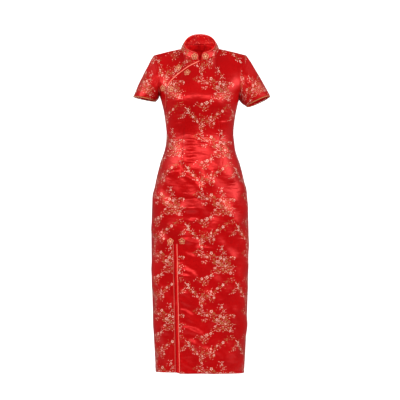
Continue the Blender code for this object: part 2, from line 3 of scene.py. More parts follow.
import bpy
import numpy as np
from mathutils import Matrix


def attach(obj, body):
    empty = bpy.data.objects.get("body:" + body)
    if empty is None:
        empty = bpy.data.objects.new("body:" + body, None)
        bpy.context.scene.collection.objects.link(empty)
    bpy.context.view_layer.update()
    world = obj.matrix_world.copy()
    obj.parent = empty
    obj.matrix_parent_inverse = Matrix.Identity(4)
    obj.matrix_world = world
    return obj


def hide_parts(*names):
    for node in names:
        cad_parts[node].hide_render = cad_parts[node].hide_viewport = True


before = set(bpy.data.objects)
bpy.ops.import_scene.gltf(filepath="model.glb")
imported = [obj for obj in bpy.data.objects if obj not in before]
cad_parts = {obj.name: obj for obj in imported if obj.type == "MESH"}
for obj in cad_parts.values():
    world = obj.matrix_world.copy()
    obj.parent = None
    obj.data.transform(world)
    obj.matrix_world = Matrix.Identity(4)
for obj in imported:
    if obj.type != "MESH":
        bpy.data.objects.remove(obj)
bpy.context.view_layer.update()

# Red brocade cheongsam, filled out with no wearer. Metres, +X the wearer's left, front to -Y.
# The cloth surfaces follow the same sizes as the CAD panels, on a much finer grid.

body = {  # from the hem up to the neck
    "z": (-1.187, -1.090, -0.940, -0.760, -0.640, -0.550, -0.490, -0.420, -0.360, -0.310, -0.250,
          -0.200, -0.168, -0.120, -0.070, -0.040, 0.024),
    "halfWidth": (0.1625, 0.1680, 0.1745, 0.1785, 0.1785, 0.1740, 0.1640, 0.1470, 0.1280, 0.1230,
                  0.1290, 0.1385, 0.1480, 0.1500, 0.1500, 0.1500, 0.1500),
    "front": (0.098, 0.101, 0.105, 0.109, 0.112, 0.113, 0.112, 0.107, 0.099, 0.095, 0.099, 0.105,
              0.103, 0.094, 0.074, 0.059, 0.046),
    "back": (0.098, 0.102, 0.107, 0.113, 0.118, 0.121, 0.117, 0.103, 0.088, 0.081, 0.086, 0.095,
             0.099, 0.098, 0.093, 0.084, 0.055),
    "bust": (0, 0, 0, 0, 0, 0, 0, 0, 0, 0.001, 0.008, 0.017, 0.014, 0.004, 0, 0, 0),
}
squareness = 0.88  # power on sine and cosine round a section, 1 is an ellipse
bust = {"x": 0.066, "width": 0.048}
hem = {"frontRise": 0.0045, "sideRise": 0.0045, "power": 4, "from": -0.0750, "to": -0.0870}
neck = {"halfWidth": 0.0700, "centreY": -0.0025, "halfDepth": 0.0575, "meanZ": -0.0090,
        "slope": 0.0330, "sideRise": 0.0130, "pull": 1.5}
neckColumns = {"across": (0.00, 0.05, 0.12, 0.20, 0.28, 0.36, 0.45), "angle": (0, 7, 20, 35, 52, 70, 90)}
rim = {"halfWidth": 0.0590, "centreY": -0.0040, "halfDepth": 0.0560, "meanZ": 0.0220, "slope": 0.0395}
armhole = {
    "rise": (0.00, 0.20, 0.45, 0.70, 0.88, 1.00),
    "x": (0.1470, 0.1480, 0.1480, 0.1515, 0.1610, 0.1705),
    "front": (0.000, -0.036, -0.047, -0.038, -0.014, 0.005),
    "back": (0.000, 0.038, 0.050, 0.044, 0.024, 0.005),
    "z": (-0.176, -0.156, -0.115, -0.072, -0.036, -0.0195),
}
underarm = {"right": (0.1490, -0.168), "left": (0.1440, -0.184)}  # x and z
sideSign = {"right": -1.0, "left": 1.0}
shoulderArch = 0.001
rowsBelow, rowsAbove, columnsHalf = 256, 40, 60  # rows below and above the underarm, columns of half a panel
hip = {"halfWidth": 0.1785, "depth": 0.112, "steps": 2000}
underarmFit = {"drawIn": 8, "reach": 9, "times": 40}  # power of the draw-in; rows and passes of the easing


def smoothCurve(positions, values, at):
    # cubic through the values, its slopes by central differences
    positions, values = np.asarray(positions, float), np.asarray(values, float)
    slopes = np.gradient(values, positions)
    cell = np.clip(np.searchsorted(positions, at) - 1, 0, len(positions) - 2)
    width = positions[cell + 1] - positions[cell]
    t = (at - positions[cell]) / width
    start = (1 + 2 * t) * (1 - t) ** 2 * values[cell] + t * (1 - t) ** 2 * width * slopes[cell]
    return start + t * t * (3 - 2 * t) * values[cell + 1] + t * t * (t - 1) * width * slopes[cell + 1]


def column(table, name, key, at):
    # one named row of a table, read off at values of its key row
    return smoothCurve(table[key], table[name], at)


def signedPower(base, power):
    # power of the size, with the sign kept
    return np.sign(base) * np.abs(base) ** power


def unit(vectors):
    # each vector divided by its length
    return vectors / np.maximum(np.linalg.norm(vectors, axis=-1, keepdims=True), 1e-12)


def linear(hexColour):
    # sRGB hex to linear, then alpha 1
    srgb = np.array([int(hexColour[i:i + 2], 16) for i in (1, 3, 5)]) / 255
    made = np.where(srgb <= 0.04045, srgb / 12.92, ((srgb + 0.055) / 1.055) ** 2.4)
    return (*made.tolist(), 1.0)


def joined(parts):
    # points, faces and kinds of several shapes as those of one
    counts = np.cumsum([0] + [len(points) for points, _, _ in parts])
    return (np.concatenate([points for points, _, _ in parts]),
            np.concatenate([faces + count for (_, faces, _), count in zip(parts, counts)]),
            np.concatenate([kinds for _, _, kinds in parts]))


def turning(angle):
    # turns rows of x, y and z about the z axis
    across, up = math.cos(angle), math.sin(angle)
    return np.array([[across, up, 0], [-up, across, 0], [0, 0, 1]])


def neckPoint(angle):
    # ellipse seen from above, lower at the front, with the sides raised
    height = neck["meanZ"] - neck["slope"] * np.cos(angle) + neck["sideRise"] * np.sin(angle) ** 2
    return np.stack([neck["halfWidth"] * np.sin(angle), neck["centreY"] - neck["halfDepth"] * np.cos(angle),
                     height], -1)


def rimPoint(angle):
    # ellipse seen from above, lower at the front
    return np.stack([rim["halfWidth"] * np.sin(angle), rim["centreY"] - rim["halfDepth"] * np.cos(angle),
                     rim["meanZ"] - rim["slope"] * np.cos(angle)], -1)


def armholePoint(side, face, rise):
    # curve from the underarm, rise 0, to the shoulder, rise 1; its low end is moved to this side's underarm
    weight = (1 - rise) ** 2
    x = column(armhole, "x", "rise", rise) + (underarm[side][0] - armhole["x"][0]) * weight
    z = column(armhole, "z", "rise", rise) + (underarm[side][1] - armhole["z"][0]) * weight
    return np.stack([sideSign[side] * x, column(armhole, face, "rise", rise), z], -1)


def bustRaised(points, face):
    # two soft bells on the front
    raised = points.copy()
    if face == "front":
        bell = np.exp(-(((np.abs(points[..., 0]) - bust["x"]) / bust["width"]) ** 2))
        raised[..., 1] -= column(body, "bust", "z", points[..., 2]) * bell
    return raised


def acrossShares():
    # shares of the way to the side seam, nearly even in length along the hip
    dense = np.linspace(0, 1, hip["steps"])
    x = hip["halfWidth"] * np.sin(dense * math.pi / 2) ** squareness
    y = hip["depth"] * np.maximum(np.cos(dense * math.pi / 2), 0) ** squareness
    length = np.concatenate([[0], np.cumsum(np.hypot(np.diff(x), np.diff(y)))])
    shares = np.interp(np.linspace(0, length[-1], columnsHalf + 1), length, dense)
    shares[np.argmin(np.abs(shares - neckColumns["across"][-1]))] = neckColumns["across"][-1]
    return shares


def topEdge(side, face, shares):
    # along the neckline, then along the arched shoulder to the armhole
    last = neckColumns["across"][-1]
    angles = np.radians(column(neckColumns, "angle", "across", np.minimum(shares, last)))
    if face == "back":
        angles = math.pi - angles
    onNeck = neckPoint(angles) * (sideSign[side], 1, 1)
    corner = neckPoint(np.array(math.pi / 2)) * (sideSign[side], 1, 1)
    along = np.clip((shares - last) / (1 - last), 0, 1)[:, None]
    shoulder = corner * (1 - along) + armholePoint(side, face, np.array(1.0)) * along
    shoulder[:, 2] += shoulderArch * np.sin(math.pi * along[:, 0])
    return np.where(shares[:, None] <= last, onNeck, shoulder)


def halfPanel(side, face, shares):
    # below the underarm x = w sin^p, y = d cos^p; above it each section ends on the armhole and
    # the rows take on the neckline's shape
    forward = -1.0 if face == "front" else 1.0
    meanUnderarm = (underarm["right"][1] + underarm["left"][1]) / 2
    share = np.linspace(0, 1, rowsBelow)[:, None]
    top = meanUnderarm + (underarm[side][1] - meanUnderarm) * shares[None, :]
    z = body["z"][0] + share * (top - body["z"][0])
    turn = shares * math.pi / 2
    halfWidth = column(body, "halfWidth", "z", z)
    x = sideSign[side] * halfWidth * np.sin(turn) ** squareness
    y = forward * column(body, face, "z", z) * np.maximum(np.cos(turn), 0) ** squareness
    y[:, -1] = 0
    if face == "front":
        reach = np.clip((x - hem["from"]) / (hem["to"] - hem["from"]), 0, 1)
        z = z + (hem["sideRise"] * reach + hem["frontRise"] * np.cos(turn) ** 2) * (1 - share) ** hem["power"]
    x = x * (1 + (underarm[side][0] / halfWidth[-1, -1] - 1) * share ** underarmFit["drawIn"])
    lower = bustRaised(np.stack([x, y, z], -1), face)

    rise = np.linspace(0, 1, rowsAbove + 1)
    edge = armholePoint(side, face, rise)
    neckZ = neckPoint(np.array(0.0 if face == "front" else math.pi))[2]
    centreZ = meanUnderarm + (neckZ - meanUnderarm) * rise
    depth = column(body, face, "z", centreZ)
    endTurn = np.arccos(np.clip(signedPower(forward * edge[:, 1] / depth, 1 / squareness), -1, 1))
    turn = endTurn[:, None] * shares[None, :]
    x = edge[:, :1] * (np.sin(turn) / np.sin(endTurn)[:, None]) ** squareness
    y = forward * depth[:, None] * signedPower(np.cos(turn), squareness)
    z = centreZ[:, None] + (edge[:, 2] - centreZ)[:, None] * shares[None, :] ** (1 + rise[:, None])
    section = np.stack([x, y, z], -1)
    upperEdge = topEdge(side, face, shares)
    section = section + (rise ** neck["pull"])[:, None, None] * (upperEdge - section[-1])[None]
    raised = bustRaised(section, face)
    raised[:, -1] = edge
    raised[-1] = upperEdge
    return np.concatenate([lower[:-1], raised])


def eased(grid, middle, reach, times):
    # rows near the underarm are averaged with their neighbours, so that no line shows there
    made = grid.copy()
    rows = np.arange(grid.shape[0])
    weight = np.exp(-(((rows - middle) / reach) ** 2))[1:-1, None, None] / 2
    for _ in range(times):
        mean = (made[:-2] + made[2:]) / 2
        made[1:-1, 1:-1] += (weight * (mean - made[1:-1]))[:, 1:-1]
    return made


def panelGrid(face):
    # whole front or back: rows from the hem up, columns that see the outside with +X or -X at their right
    shares = acrossShares()
    halves = {side: halfPanel(side, face, shares) for side in sideSign}
    first, second = ("right", "left") if face == "front" else ("left", "right")
    grid = np.concatenate([halves[first][:, :0:-1], halves[second]], axis=1)
    return eased(grid, rowsBelow - 1, underarmFit["reach"], underarmFit["times"])


def gridNormals(grid):
    # cross product of the steps along a row and up a column
    return unit(np.cross(np.gradient(grid, axis=1), np.gradient(grid, axis=0)))


def closedNormals(grid):
    # normals of a ring whose last column repeats the first
    return gridNormals(np.concatenate([grid[:, -2:-1], grid, grid[:, 1:2]], 1))[:, 1:-1]


def lengthsAlong(grid, axis):
    # length from the first point of each row or column
    steps = np.linalg.norm(np.diff(grid, axis=axis), axis=-1)
    return np.cumsum(np.insert(steps, 0, 0, axis=axis), axis=axis)


def pathLengths(path):
    # length along a path up to each of its points
    return np.concatenate([[0], np.cumsum(np.linalg.norm(np.diff(path, axis=0), axis=1))])


def gridFaces(rows, columns, closed=False):
    # two triangles to each cell; a closed grid joins its last column to its first
    index = np.arange(rows * columns).reshape(rows, columns)
    if closed:
        index = np.concatenate([index, index[:, :1]], 1)
    a, b, c, d = index[:-1, :-1], index[:-1, 1:], index[1:, 1:], index[1:, :-1]
    return np.stack([a, b, c, a, c, d], -1).reshape(-1, 3)


def scored(cloth, value):
    # splits each triangle along the line where value is zero
    value = np.where(np.abs(value) < 1e-6, 1e-6, value)
    faces, above = cloth["faces"], value > 0
    sides = above[faces].sum(1)
    mixed = faces[(sides == 1) | (sides == 2)]
    lone = np.argmax(above[mixed] == (above[mixed].sum(1) == 1)[:, None], axis=1)
    a, b, c = np.take_along_axis(mixed, (lone[:, None] + np.arange(3)) % 3, 1).T
    edges = np.concatenate([np.stack([a, b], 1), np.stack([a, c], 1)])
    unique, where = np.unique(np.sort(edges, 1), axis=0, return_inverse=True)
    where = where.reshape(-1) + len(value)
    p, q = where[:len(a)], where[len(a):]
    t = value[unique[:, 0]] / (value[unique[:, 0]] - value[unique[:, 1]])
    made = {}
    for name in ("points", "normals", "places"):
        data = cloth[name]
        between = data[unique[:, 0]] + (data[unique[:, 1]] - data[unique[:, 0]]) * t[:, None]
        made[name] = np.concatenate([data, between])
    made["faces"] = np.concatenate([faces[(sides == 0) | (sides == 3)], np.stack([a, p, q], 1),
                                    np.stack([p, b, c], 1), np.stack([p, c, q], 1)])
    return made


def parted(cloth, keep):
    # keeps some faces, and only the points that they use
    used, faces = np.unique(cloth["faces"][keep], return_inverse=True)
    made = {name: cloth[name][used] for name in ("points", "normals", "places")}
    made["faces"] = faces.reshape(-1, 3)
    return made


def clothOf(grid, places):
    # a grid as loose triangles that can be scored and parted
    rows, columns = grid.shape[:2]
    return {"points": grid.reshape(-1, 3), "normals": gridNormals(grid).reshape(-1, 3),
            "places": places.reshape(-1, 2), "faces": gridFaces(rows, columns)}


def addMesh(name, points, faces, places=None, materials=(), kinds=None, placeFaces=None):
    # kinds picks each face's material; places are its lengths along the cloth, kept as the weave's map
    mesh = bpy.data.meshes.new(name)
    mesh.vertices.add(len(points))
    mesh.vertices.foreach_set("co", np.asarray(points, np.float32).ravel())
    sides = faces.shape[1]
    mesh.loops.add(faces.size)
    mesh.loops.foreach_set("vertex_index", faces.astype(np.int32).ravel())
    mesh.polygons.add(len(faces))
    mesh.polygons.foreach_set("loop_start", np.arange(0, faces.size, sides, dtype=np.int32))
    for material in materials:
        mesh.materials.append(material)
    if kinds is not None:
        mesh.polygons.foreach_set("material_index", np.asarray(kinds, np.int32))
    mesh.update(calc_edges=True)
    mesh.polygons.foreach_set("use_smooth", np.ones(len(faces), bool))
    if places is not None:
        corners = faces if placeFaces is None else placeFaces
        layer = mesh.uv_layers.new(name="weaveMap")
        layer.uv.foreach_set("vector", places[corners.ravel()].astype(np.float32).ravel())
    mesh.validate()
    piece = bpy.data.objects.new(name, mesh)
    bpy.context.scene.collection.objects.link(piece)
    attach(piece, "root")
    return piece


def thickened(piece, thickness):
    # the wall grows inwards and shows the second material there
    wall = piece.modifiers.new("wall", "SOLIDIFY")
    wall.thickness = thickness
    wall.offset = -1
    wall.material_offset = 1
    wall.use_rim = True


# Camera: level, 6 m in front, so that the hem is almost straight
cameraPlan = {"distance": 6.0, "height": -0.5523, "frameWidth": 1.4728, "sensor": 36.0, "reach": 50}
cameraData = bpy.data.cameras.new("camera")
cameraData.sensor_width = cameraPlan["sensor"]
cameraData.lens = cameraPlan["sensor"] * cameraPlan["distance"] / cameraPlan["frameWidth"]
cameraData.clip_end = cameraPlan["reach"]
camera = bpy.data.objects.new("camera", cameraData)
camera.location = (0, -cameraPlan["distance"], cameraPlan["height"])
camera.rotation_euler = (math.pi / 2, 0, 0)
bpy.context.scene.collection.objects.link(camera)
bpy.context.scene.camera = camera


def node(tree, kind, inputs=None, **settings):
    # adds a node with its settings; a socket among the inputs is linked, anything else is set
    made = tree.nodes.new(kind)
    for name, value in settings.items():
        setattr(made, name, value)
    for name, value in (inputs or {}).items():
        if isinstance(value, bpy.types.NodeSocket):
            tree.links.new(value, made.inputs[name])
        else:
            made.inputs[name].default_value = value
    return made


def newMaterial(name):
    # the material, its tree and its shader
    material = bpy.data.materials.new(name)
    material.use_nodes = True
    tree = material.node_tree
    return material, tree, tree.nodes["Principled BSDF"]


def cellScale(spacing):
    # scale of a noise whose features are this many millimetres across
    return 1000 / spacing


def waveScale(spacing, turns):
    # scale of a wave whose bands are this many millimetres apart; turns is its phase over one unit
    return 2000 * math.pi / turns / spacing


satinWeave = {  # millimetres across and up the cloth
    "slubs": (1.1111, 25), "wrinkles": (62.5, 16.129), "floats": 1.5708, "floatDepth": 0.0002,
    "wrinkleDepth": 0.0014, "anisotropy": 0.75, "ior": 1.5, "tint": "#FF5654", "sheenTint": "#FF3030",
    "slantGloss": 0.12}


def satin(name, light, dark, roughness, shine, sheen, paintedGlow=0.0, patches=111.11):
    # warp-faced satin: long floats run up the cloth, so the shine spreads across it in level bands;
    # two colours by a broad noise times fine slubs
    material, tree, shader = newMaterial(name)
    weave = node(tree, "ShaderNodeUVMap", uv_map="weaveMap").outputs["UV"]
    broad = node(tree, "ShaderNodeTexNoise", {"Vector": weave, "Scale": cellScale(patches), "Detail": 2.0})
    wide, tall = satinWeave["slubs"]
    stretched = node(tree, "ShaderNodeMapping", {"Vector": weave,
                                                 "Scale": (cellScale(wide), cellScale(tall), 1)})
    slubs = node(tree, "ShaderNodeTexNoise", {"Vector": stretched.outputs["Vector"], "Scale": 1.0,
                                              "Detail": 3.0})
    mixed = node(tree, "ShaderNodeMath", {0: broad.outputs["Fac"], 1: slubs.outputs["Fac"]},
                 operation="MULTIPLY")
    ramp = node(tree, "ShaderNodeMapRange", {"Value": mixed.outputs[0], "From Min": 0.12, "From Max": 0.38})
    colour = node(tree, "ShaderNodeMix", {0: ramp.outputs["Result"], 6: linear(dark), 7: linear(light)},
                  data_type="RGBA")
    tree.links.new(colour.outputs[2], shader.inputs["Base Color"])
    # real floats lie 0.15 mm apart and are drawn ten times as coarse, so that they show
    floats = node(tree, "ShaderNodeTexWave", {"Vector": weave, "Scale": waveScale(satinWeave["floats"], 20),
                                              "Distortion": 1.5, "Detail": 2.0, "Detail Scale": 2.0},
                  bands_direction="X")
    bump = node(tree, "ShaderNodeBump", {"Height": floats.outputs["Fac"], "Strength": 0.12,
                                         "Distance": satinWeave["floatDepth"]})
    # level wrinkles about 16 mm apart, too fine for the mesh
    wide, tall = satinWeave["wrinkles"]
    level = node(tree, "ShaderNodeMapping", {"Vector": weave, "Scale": (cellScale(wide), cellScale(tall), 1)})
    wrinkles = node(tree, "ShaderNodeTexNoise", {"Vector": level.outputs["Vector"], "Scale": 1.0,
                                                 "Detail": 3.0, "Roughness": 0.55, "Distortion": 0.6})
    folds = node(tree, "ShaderNodeBump", {"Height": wrinkles.outputs["Fac"], "Normal": bump.outputs["Normal"],
                                          "Strength": 1.0, "Distance": satinWeave["wrinkleDepth"]})
    tree.links.new(folds.outputs["Normal"], shader.inputs["Normal"])
    tangent = node(tree, "ShaderNodeTangent", direction_type="UV_MAP", uv_map="weaveMap")
    tree.links.new(tangent.outputs["Tangent"], shader.inputs["Tangent"])
    uneven = node(tree, "ShaderNodeMapRange", {"Value": slubs.outputs["Fac"], "To Min": roughness - 0.05,
                                               "To Max": roughness + 0.07})
    tree.links.new(uneven.outputs["Result"], shader.inputs["Roughness"])
    # the floats hide each other at a slant, so the gloss falls off towards the edges
    slant = node(tree, "ShaderNodeLayerWeight", {"Blend": 0.5})
    gloss = node(tree, "ShaderNodeMapRange", {"Value": slant.outputs["Facing"], "From Min": 0.40,
                                              "From Max": 0.92, "To Min": shine,
                                              "To Max": shine * satinWeave["slantGloss"]})
    tree.links.new(gloss.outputs["Result"], shader.inputs["Specular IOR Level"])
    # the glow is painted light: emission that brightens the wrong side, standing in for daylight that comes
    # through the thin cloth, seen from its inside
    for socket, value in (("IOR", satinWeave["ior"]), ("Emission Color", linear(light)),
                          ("Emission Strength", paintedGlow), ("Specular Tint", linear(satinWeave["tint"])),
                          ("Anisotropic", satinWeave["anisotropy"]), ("Sheen Weight", sheen),
                          ("Sheen Roughness", 0.4), ("Sheen Tint", linear(satinWeave["sheenTint"]))):
        shader.inputs[socket].default_value = value
    return material


threadWeave = {"patches": 16.667, "strandDepth": 0.0004, "specular": 0.25}


def thread(name, light, dark, roughness, metallic, strand):
    # rayon or metal-wrapped thread, its strands drawn as slanting lines, coarser than real so that they show;
    # its colour is painted shade in the strands' grooves, times random patches
    material, tree, shader = newMaterial(name)
    where = node(tree, "ShaderNodeTexCoord").outputs["Object"]
    # across the bands of a slanting wave its phase grows by 10 times the square root of 3
    strands = node(tree, "ShaderNodeTexWave", {"Vector": where, "Scale": waveScale(strand, 10 * math.sqrt(3)),
                                               "Distortion": 3.0, "Detail": 2.0}, bands_direction="DIAGONAL")
    patches = node(tree, "ShaderNodeTexNoise", {"Vector": where, "Scale": cellScale(threadWeave["patches"]),
                                                "Detail": 2.0})
    shade = node(tree, "ShaderNodeMath", {0: strands.outputs["Fac"], 1: patches.outputs["Fac"]},
                 operation="MULTIPLY")
    span = node(tree, "ShaderNodeMapRange", {"Value": shade.outputs[0], "From Min": 0.05, "From Max": 0.55})
    colour = node(tree, "ShaderNodeMix", {0: span.outputs["Result"], 6: linear(dark), 7: linear(light)},
                  data_type="RGBA")
    tree.links.new(colour.outputs[2], shader.inputs["Base Color"])
    bump = node(tree, "ShaderNodeBump", {"Height": strands.outputs["Fac"], "Strength": 0.35,
                                         "Distance": threadWeave["strandDepth"]})
    tree.links.new(bump.outputs["Normal"], shader.inputs["Normal"])
    for socket, value in (("Roughness", roughness), ("Metallic", metallic),
                          ("Specular IOR Level", threadWeave["specular"])):
        shader.inputs[socket].default_value = value
    return material


# woven polyester satin: the ground is a deep glossy red, its wrong side duller, mottled by loose floats and
# given a painted glow
brocadeSatin = satin("polyester_satin_brocade_ground", "#A60406", "#8E0204", 0.30, 1.0, 0.03)
brocadeWrong = satin("brocade_wrong_side", "#CA0E10", "#7C0406", 0.52, 0.4, 0.05, paintedGlow=0.16,
                     patches=11.765)
innerSatin = satin("brocade_wrong_side_stiffened", "#BC0608", "#980306", 0.46, 0.5, 0.04)
# the slit band is plain satin, a flatter and brighter red
plainSatin = satin("polyester_satin_plain", "#C2080C", "#A80508", 0.40, 0.6, 0.05)
# figure wefts: spun rayon is a soft cream, metal-wrapped thread a dull gold; inside the collar both get
# darker, redder copies, painted shade
creamThread = thread("rayon_figure_weft_cream", "#FFE8DA", "#FABCA8", 0.45, 0.0, 0.8638)
goldThread = thread("metal_wrapped_figure_weft_gold", "#B98A58", "#7A5030", 0.42, 0.30, 0.8638)
shadedCreamFloat = thread("brocade_wrong_side_cream_float_shaded", "#FF6650", "#F04A3C", 0.50, 0.0, 0.8638)
shadedGoldFloat = thread("brocade_wrong_side_gold_float_shaded", "#C82A24", "#98181A", 0.50, 0.0, 0.8638)
# bias-cut satin rolled over a cord, one red satin in lighter and darker copies: coral as a painted highlight
# where it catches the light, the redder copies painted shade
pipingSatin = thread("rolled_satin_piping", "#FF8E78", "#E45A48", 0.40, 0.0, 1.3953)
pipingShaded = thread("rolled_satin_piping_shaded", "#CE4436", "#A02E24", 0.42, 0.0, 1.3953)
pipingRose = thread("rolled_satin_piping_rose", "#F07462", "#C8483A", 0.42, 0.0, 1.3953)
pipingRed = thread("rolled_satin_piping_red", "#EC463C", "#BE2A24", 0.42, 0.0, 1.3953)
# cord wound with metallised film: fine bright turns, a darker copy of it at the cuffs
cuffCord = thread("gold_wrapped_cord_dull", "#CC7C4C", "#9A5230", 0.42, 0.25, 0.7255)
goldCord = thread("gold_wrapped_cord", "#F2CC98", "#B8864E", 0.40, 0.30, 0.7255)
# satin stretched over padded petals, with no figure
petalSatin = thread("satin_petals", "#C4262A", "#8E1014", 0.42, 0.0, 2.0154)


# Closing line and slit, seen from the front (x, z)
closing = {"x": (0.015, -0.003, -0.033, -0.061, -0.093, -0.1150, -0.1215, -0.1230, -0.1260, -0.150),
           "z": (-0.030, -0.046, -0.0615, -0.080, -0.106, -0.132, -0.160, -0.188, -0.220, -0.236),
           "step": 0.006, "corded": (-0.0455, -0.2195)}  # the cord's top and bottom in z
# the slit's x at its top and at the hem
slit = {"topZ": -0.712, "left": (-0.0952, -0.0870), "right": (-0.0845, -0.0750)}


def closingLine():
    # cubic through the guide points, at even steps
    guide = np.stack([closing["x"], closing["z"]], -1)
    length = pathLengths(guide)
    at = np.arange(0, length[-1], closing["step"])
    return np.stack([smoothCurve(length, guide[:, i], at) for i in range(2)], -1)


def chestSide(points):
    # signed distance from the closing line, above zero towards the small chest piece;
    # the first and last stretches run on beyond their ends
    line = closingLine()
    along = unit(np.diff(line, axis=0))
    length = np.linalg.norm(np.diff(line, axis=0), axis=1)
    flat = points[:, [0, 2]]
    best = np.full(len(flat), np.inf)
    signed = np.zeros(len(flat))
    for i in range(len(along)):
        away = flat - line[i]
        t = away @ along[i]
        if i > 0:
            t = np.maximum(t, 0)
        if i < len(along) - 1:
            t = np.minimum(t, length[i])
        gap = away - t[:, None] * along[i]
        far = np.linalg.norm(gap, axis=1)
        side = away @ np.array([along[i][1], -along[i][0]])
        closer = far < best
        best = np.where(closer, far, best)
        signed = np.where(closer, np.sign(side) * far, signed)
    return signed


def slitX(edge, z):
    # straight edges, from the slit's top to the hem
    top, low = slit[edge]
    return top + (low - top) * (slit["topZ"] - z) / (slit["topZ"] - body["z"][0])


# Soft creases, each as x, z, half length, half width and height, then its angle in degrees as seen from the
# front and its bend
frontCreases = (
    # the line across the bust
    (-0.007, -0.1765, 0.072, 0.028, 0.0068, 0, 0),
    # drawn in under the left arm, then under the right one
    (0.0905, -0.234, 0.018, 0.0045, 0.0024, -6, 0), (0.0905, -0.2485, 0.016, 0.004, 0.0018, -4, 0),
    (0.0905, -0.270, 0.020, 0.005, 0.0024, 3, 4), (-0.074, -0.2413, 0.016, 0.004, 0.0022, 5, 0),
    (-0.0724, -0.2594, 0.018, 0.0045, 0.002, -3, 0), (-0.076, -0.2775, 0.015, 0.004, 0.0018, 6, 0),
    # across the belly, between the darts
    (-0.0362, -0.3246, 0.015, 0.0045, 0.0022, -4, 0), (-0.0362, -0.3463, 0.017, 0.005, 0.0026, 3, 0),
    (-0.0326, -0.368, 0.016, 0.0045, 0.0022, -7, 0), (-0.0362, -0.3897, 0.018, 0.005, 0.0024, 2, 0),
    (-0.0362, -0.4114, 0.014, 0.0045, 0.002, -5, 0),
    # slanting over the hips
    (0.0869, -0.3498, 0.022, 0.007, 0.004, -38, 3), (0.0977, -0.3679, 0.018, 0.006, 0.0028, -34, 0),
    (-0.094, -0.4511, 0.024, 0.008, 0.0044, 20, -4),
    # across the front above the slit
    (-0.0362, -0.4728, 0.034, 0.009, 0.0056, -34, 3), (-0.0362, -0.584, 0.036, 0.013, 0.0076, -3, -4),
    (-0.0362, -0.5487, 0.030, 0.008, -0.0032, 2, 0), (-0.0253, -0.6283, 0.030, 0.006, 0.0026, 6, -6),
    # from the slit's right edge down to the left
    (-0.0362, -0.8127, 0.036, 0.010, 0.0046, -30, 4), (-0.038, -0.8308, 0.034, 0.0095, 0.0042, -10, 2),
    (-0.0416, -0.979, 0.022, 0.007, 0.0032, -36, 0), (-0.0217, -1.0297, 0.045, 0.0105, 0.005, -28, 3),
    (-0.0308, -1.0694, 0.034, 0.0095, 0.0044, -25, 2), (-0.047, -1.1507, 0.020, 0.006, 0.0026, -26, 0),
    # beside the slit, left of it
    (-0.1502, -0.8615, 0.022, 0.007, 0.0036, -45, 3), (-0.1249, -1.0279, 0.024, 0.0085, 0.004, -38, 0),
    # short ones across the skirt
    (-0.029, -0.704, 0.022, 0.007, 0.0032, -8, -5), (-0.030, -0.756, 0.020, 0.006, 0.0028, -24, 0),
    (0.029, -0.727, 0.024, 0.005, 0.002, -4, 0),
    # long and shallow, down the left side
    (0.075, -0.560, 0.040, 0.012, 0.0024, -55, 2), (0.052, -0.905, 0.045, 0.011, 0.0022, -30, 1),
    (0.098, -0.790, 0.040, 0.012, -0.0012, 62, 0), (0.030, -1.100, 0.050, 0.011, 0.0028, -24, 1),
    (0.085, -0.660, 0.034, 0.010, 0.001, 48, 0),
    # small ones between the others
    (-0.0507, -0.6985, 0.022, 0.0065, 0.003, -18, 2), (-0.0579, -0.8886, 0.020, 0.0055, 0.0024, -22, 3),
    (-0.0543, -0.9248, 0.023, 0.006, 0.0028, -26, 1), (-0.0507, -0.9573, 0.025, 0.0065, 0.003, -29, 4),
    (0.002, -1.0369, 0.032, 0.0075, 0.0034, -33, 2),
)
backCreases = (
    # across the small of the back
    (0.045, -0.335, 0.030, 0.007, 0.004, -10, 2), (-0.052, -0.350, 0.034, 0.008, 0.0048, 8, -2),
    (0.060, -0.372, 0.026, 0.006, 0.0032, -16, 2), (-0.030, -0.318, 0.024, 0.006, 0.0028, 3, 0),
    (0.020, -0.395, 0.036, 0.008, 0.0044, -2, 1),
    # slanting over the seat
    (0.100, -0.430, 0.030, 0.009, 0.0036, -42, 0), (-0.105, -0.440, 0.032, 0.009, 0.004, 40, 0),
    # long and shallow, down the skirt
    (0.050, -0.640, 0.060, 0.013, 0.0044, -34, 1), (-0.060, -0.690, 0.055, 0.012, 0.004, 38, -1),
    (0.010, -0.760, 0.070, 0.014, 0.0036, -8, 1), (0.090, -0.900, 0.060, 0.012, 0.0032, -52, 0),
    (-0.090, -0.980, 0.065, 0.013, 0.0036, 46, 0), (0.040, -1.080, 0.060, 0.011, 0.0028, -20, 0),
)
darts = {  # x at each z, and how deep the stitched line draws in
    "front": ({"z": (-0.500, -0.452, -0.440, -0.400, -0.345, -0.290, -0.235, -0.200),
               "x": (-0.0655, -0.0655, -0.0650, -0.0635, -0.0605, -0.0585, -0.0575, -0.0575),
               "depth": (0, 0, 0.0018, 0.0026, 0.0024, 0.0014, 0, 0)},
              {"z": (-0.500, -0.430, -0.415, -0.370, -0.320, -0.270, -0.225, -0.190),
               "x": (0.0800, 0.0797, 0.0790, 0.0765, 0.0735, 0.0710, 0.0688, 0.0680),
               "depth": (0, 0, 0.0012, 0.0020, 0.0020, 0.0012, 0, 0)}),
    "back": ({"z": (-0.520, -0.475, -0.460, -0.400, -0.330, -0.260, -0.200, -0.170),
              "x": (-0.0760, -0.0760, -0.0755, -0.0720, -0.0680, -0.0690, -0.0710, -0.0720),
              "depth": (0, 0, 0.0010, 0.0016, 0.0016, 0.0010, 0, 0)},
             {"z": (-0.520, -0.475, -0.460, -0.400, -0.330, -0.260, -0.200, -0.170),
              "x": (0.0760, 0.0760, 0.0755, 0.0720, 0.0680, 0.0690, 0.0710, 0.0720),
              "depth": (0, 0, 0.0010, 0.0016, 0.0016, 0.0010, 0, 0)}),
}
# Slow waves of the whole cloth, each as its wavelengths across and up, its height and its phase
undulations = ((0.110, 0.160, 0.0014, 0.4), (0.075, -0.105, 0.0009, 2.1), (-0.160, 0.240, 0.0015, 3.3),
               (-0.090, -0.070, 0.0007, 5.0), (0.052, 0.085, 0.0004, 1.2))
looseness = {"bodice": 0.3, "from": -0.28, "over": 0.18}  # the bodice is drawn tighter than the skirt


